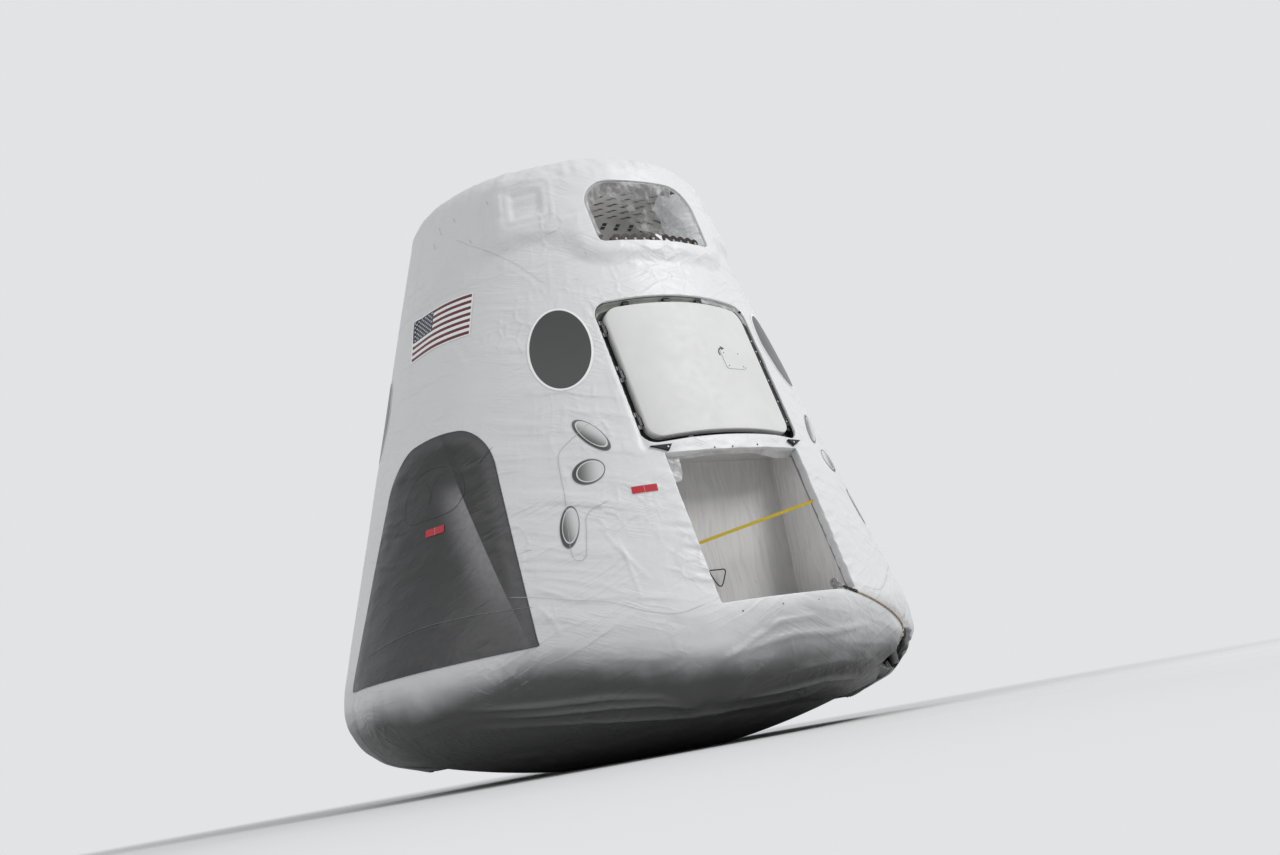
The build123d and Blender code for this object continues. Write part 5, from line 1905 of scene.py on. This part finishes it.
def tether():
    """Laid rope from a snap on the sill eye to a knot on the tow eye, with its hardware."""
    sill_eye, places, tow_eye = tether_route()
    way_in = unit(tow_eye - places[-1])
    knot_start, knot_end = tow_eye - way_in * 0.155, tow_eye - way_in * 0.048

    def rope(name, stops, radius):
        """Length of the laid rope through some stops."""
        return grown(name, LAID_ROPE, route_mesh(stops), ROPE, Radius=radius, Turns_per_metre=17.0)

    lug_side = tow_place(1, 0, 0)
    eye_loop = [tow_eye + unit(way_in) * (0.040 * cos(t) - 0.008) + lug_side * 0.020 * sin(t)
                for t in np.linspace(-2.6, 2.6, 10)]
    core = [knot_start] + wraps(knot_start, knot_end, 3.6, 0.013, 0.3, 0.006) + eye_loop + [knot_end]
    outer = wraps(knot_end + (0, 0, 0.004), knot_start + way_in * 0.02, 2.6, 0.026, 1.7, 0.008)
    outer += [knot_start + (0.01, 0.01, 0.032), knot_start + way_in * 0.05 + (0.0, 0.02, 0.040)]
    bight = [knot_end + way_in * ahead + (x, y, z) for ahead, x, y, z in BIGHT]
    taut = [places[0] + (places[1] - places[0]) * 0.30] + places[1:] + [knot_start]
    for name, route, radius in (
            ("tether_rope", taut, 0.0068),
            ("knot_core", core, 0.0068),
            ("knot_wraps", outer, 0.0066),
            ("knot_bight", bight, 0.0066)):
        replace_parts(rope(name, route, radius), "tether_line")
    # snap hook and swivel on the sill
    down = unit(places[1] - places[0])
    across = unit(np.cross(down, places[0] * [1, 1, 0]))
    other = np.cross(down, across)
    hook = [sill_eye + (places[0] - sill_eye) * (0.42 - 0.44 * cos(t)) + across * 0.013 * sin(t)
            for t in np.linspace(0, 2 * pi, 25)[:-1]]
    grown("snap_hook", ROLLED, line_mesh(hook, True), STEEL, Radius=0.0042, Step=0.005)
    bm = bmesh.new()
    rows = [[bm.verts.new(places[0] + down * below + (across * cos(t) + other * sin(t)) * girth)
             for t in np.linspace(0, 2 * pi, 17)[:-1]] for below, girth in SWIVEL]
    bridge(bm, rows, True)
    bm.faces.new(rows[0][::-1])
    bm.faces.new(rows[-1])
    bmesh.ops.recalc_face_normals(bm, faces=bm.faces)
    finish("swivel", bm, DARK_METAL)
    foot = places[0] + down * SWIVEL[-1][0]
    turns = wraps(foot - down * 0.006, foot + down * 0.034, 3.5, 0.0085)
    grown("rope_whipping", LAID_ROPE, route_mesh(turns), BLACK_CORD, Radius=0.0032, Turns_per_metre=30.0)


tow_collar()
tether()


# Floor, light and camera

CAMERA_AWAY = 10.0
CAMERA_Z = 0.10
CAMERA_ANGLE = -32.69
CAMERA_TURN = 2.10
CAMERA_TILT = 1.99
CAMERA_ROLL = -9.85
FOCAL = 1373
IMAGE_W = 1280
SENSOR_W = 36
BODY_MIDDLE = Vector((0, 0, 2.0))
SKY = (0.97, 0.985, 1.0, 1)
SKY_SEEN = 0.78
SKY_LOW = 0.28
SKY_HIGH = 0.70


def studio_floor():
    """Large pale floor that passes into the sky far off."""
    made, shader, here = new_material("studio floor", Roughness=0.9)
    tree = made.node_tree
    paint(shader, mixed(cloud(here, 0.7, 2.0), grey(0.60), grey(0.66)))
    far = node(tree, "ShaderNodeVectorMath", {0: here}, operation="LENGTH").outputs["Value"]
    seen = tree.nodes.new("ShaderNodeLightPath").outputs["Is Camera Ray"]
    sky = node(tree, "ShaderNodeEmission", {"Color": SKY, "Strength": SKY_SEEN})
    blend = node(tree, "ShaderNodeMixShader", {0: times(seen, ramp(far, 3.0, 9.0)), 1: shader.outputs[0],
                                               2: sky.outputs[0]})
    feed(blend.outputs[0], next(n for n in tree.nodes if n.type == "OUTPUT_MATERIAL"), "Surface")
    bm = bmesh.new()
    bmesh.ops.create_grid(bm, x_segments=2, y_segments=2, size=60)
    in_scene("studio_floor", mesh_of(bm, "studio_floor", made))


def studio_world():
    """Soft sky, brighter overhead, pale grey where the camera, mirrors and glass see it."""
    world = bpy.data.worlds.new("studio sky")
    bpy.context.scene.world = world
    world.use_nodes = True
    tree = world.node_tree
    back = next(n for n in tree.nodes if n.type == "BACKGROUND")
    rays = tree.nodes.new("ShaderNodeLightPath").outputs
    seen = maths("MAXIMUM", rays["Is Camera Ray"], rays["Is Transmission Ray"])
    seen = maths("MAXIMUM", seen, rays["Is Glossy Ray"])
    back.inputs["Color"].default_value = SKY
    toward = tree.nodes.new("ShaderNodeTexCoord").outputs["Generated"]
    light = ramp(parts(toward)["Z"], 0.0, 1.0, SKY_LOW, SKY_HIGH)
    feed(plus(light, times(seen, minus(SKY_SEEN, light))), back, "Strength")


def lamp(name, away, azimuth, height, size, power):
    """Large soft lamp aimed at the middle of the body."""
    data = bpy.data.lights.new(name, "AREA")
    data.shape = "DISK"
    data.size = size
    data.energy = power
    made = in_scene(name, data)
    made.location = (away * sin(radians(azimuth)), -away * cos(radians(azimuth)), height)
    made.rotation_euler = (BODY_MIDDLE - made.location).to_track_quat("-Z", "Y").to_euler()


def camera():
    """Camera at floor level, rolled so that the body leans as in the photo."""
    data = bpy.data.cameras.new("camera")
    data.sensor_width = SENSOR_W
    data.lens = FOCAL * SENSOR_W / IMAGE_W
    az = radians(CAMERA_ANGLE)
    where = Vector((CAMERA_AWAY * sin(az), -CAMERA_AWAY * cos(az), CAMERA_Z))
    ahead = (BODY_MIDDLE - where).normalized()
    right = ahead.cross(Vector((0, 0, 1))).normalized()
    up = right.cross(ahead)
    turn, tilt, roll = radians(CAMERA_TURN), radians(CAMERA_TILT), radians(CAMERA_ROLL)
    ahead, right = ahead * cos(turn) + right * sin(turn), right * cos(turn) - ahead * sin(turn)
    ahead = ahead * cos(tilt) + up * sin(tilt)
    up = right.cross(ahead)
    right, up = right * cos(roll) + up * sin(roll), up * cos(roll) - right * sin(roll)
    made = in_scene("camera", data)
    made.matrix_world = Matrix.Translation(where) @ Matrix((right, up, -ahead)).transposed().to_4x4()
    bpy.context.scene.camera = made


studio_floor()
studio_world()
lamp("key", 11, 30, 9.5, 5.0, 1050)
lamp("fill", 12, -80, 6.0, 8.0, 300)
camera()
bpy.context.scene.view_settings.view_transform = "Standard"
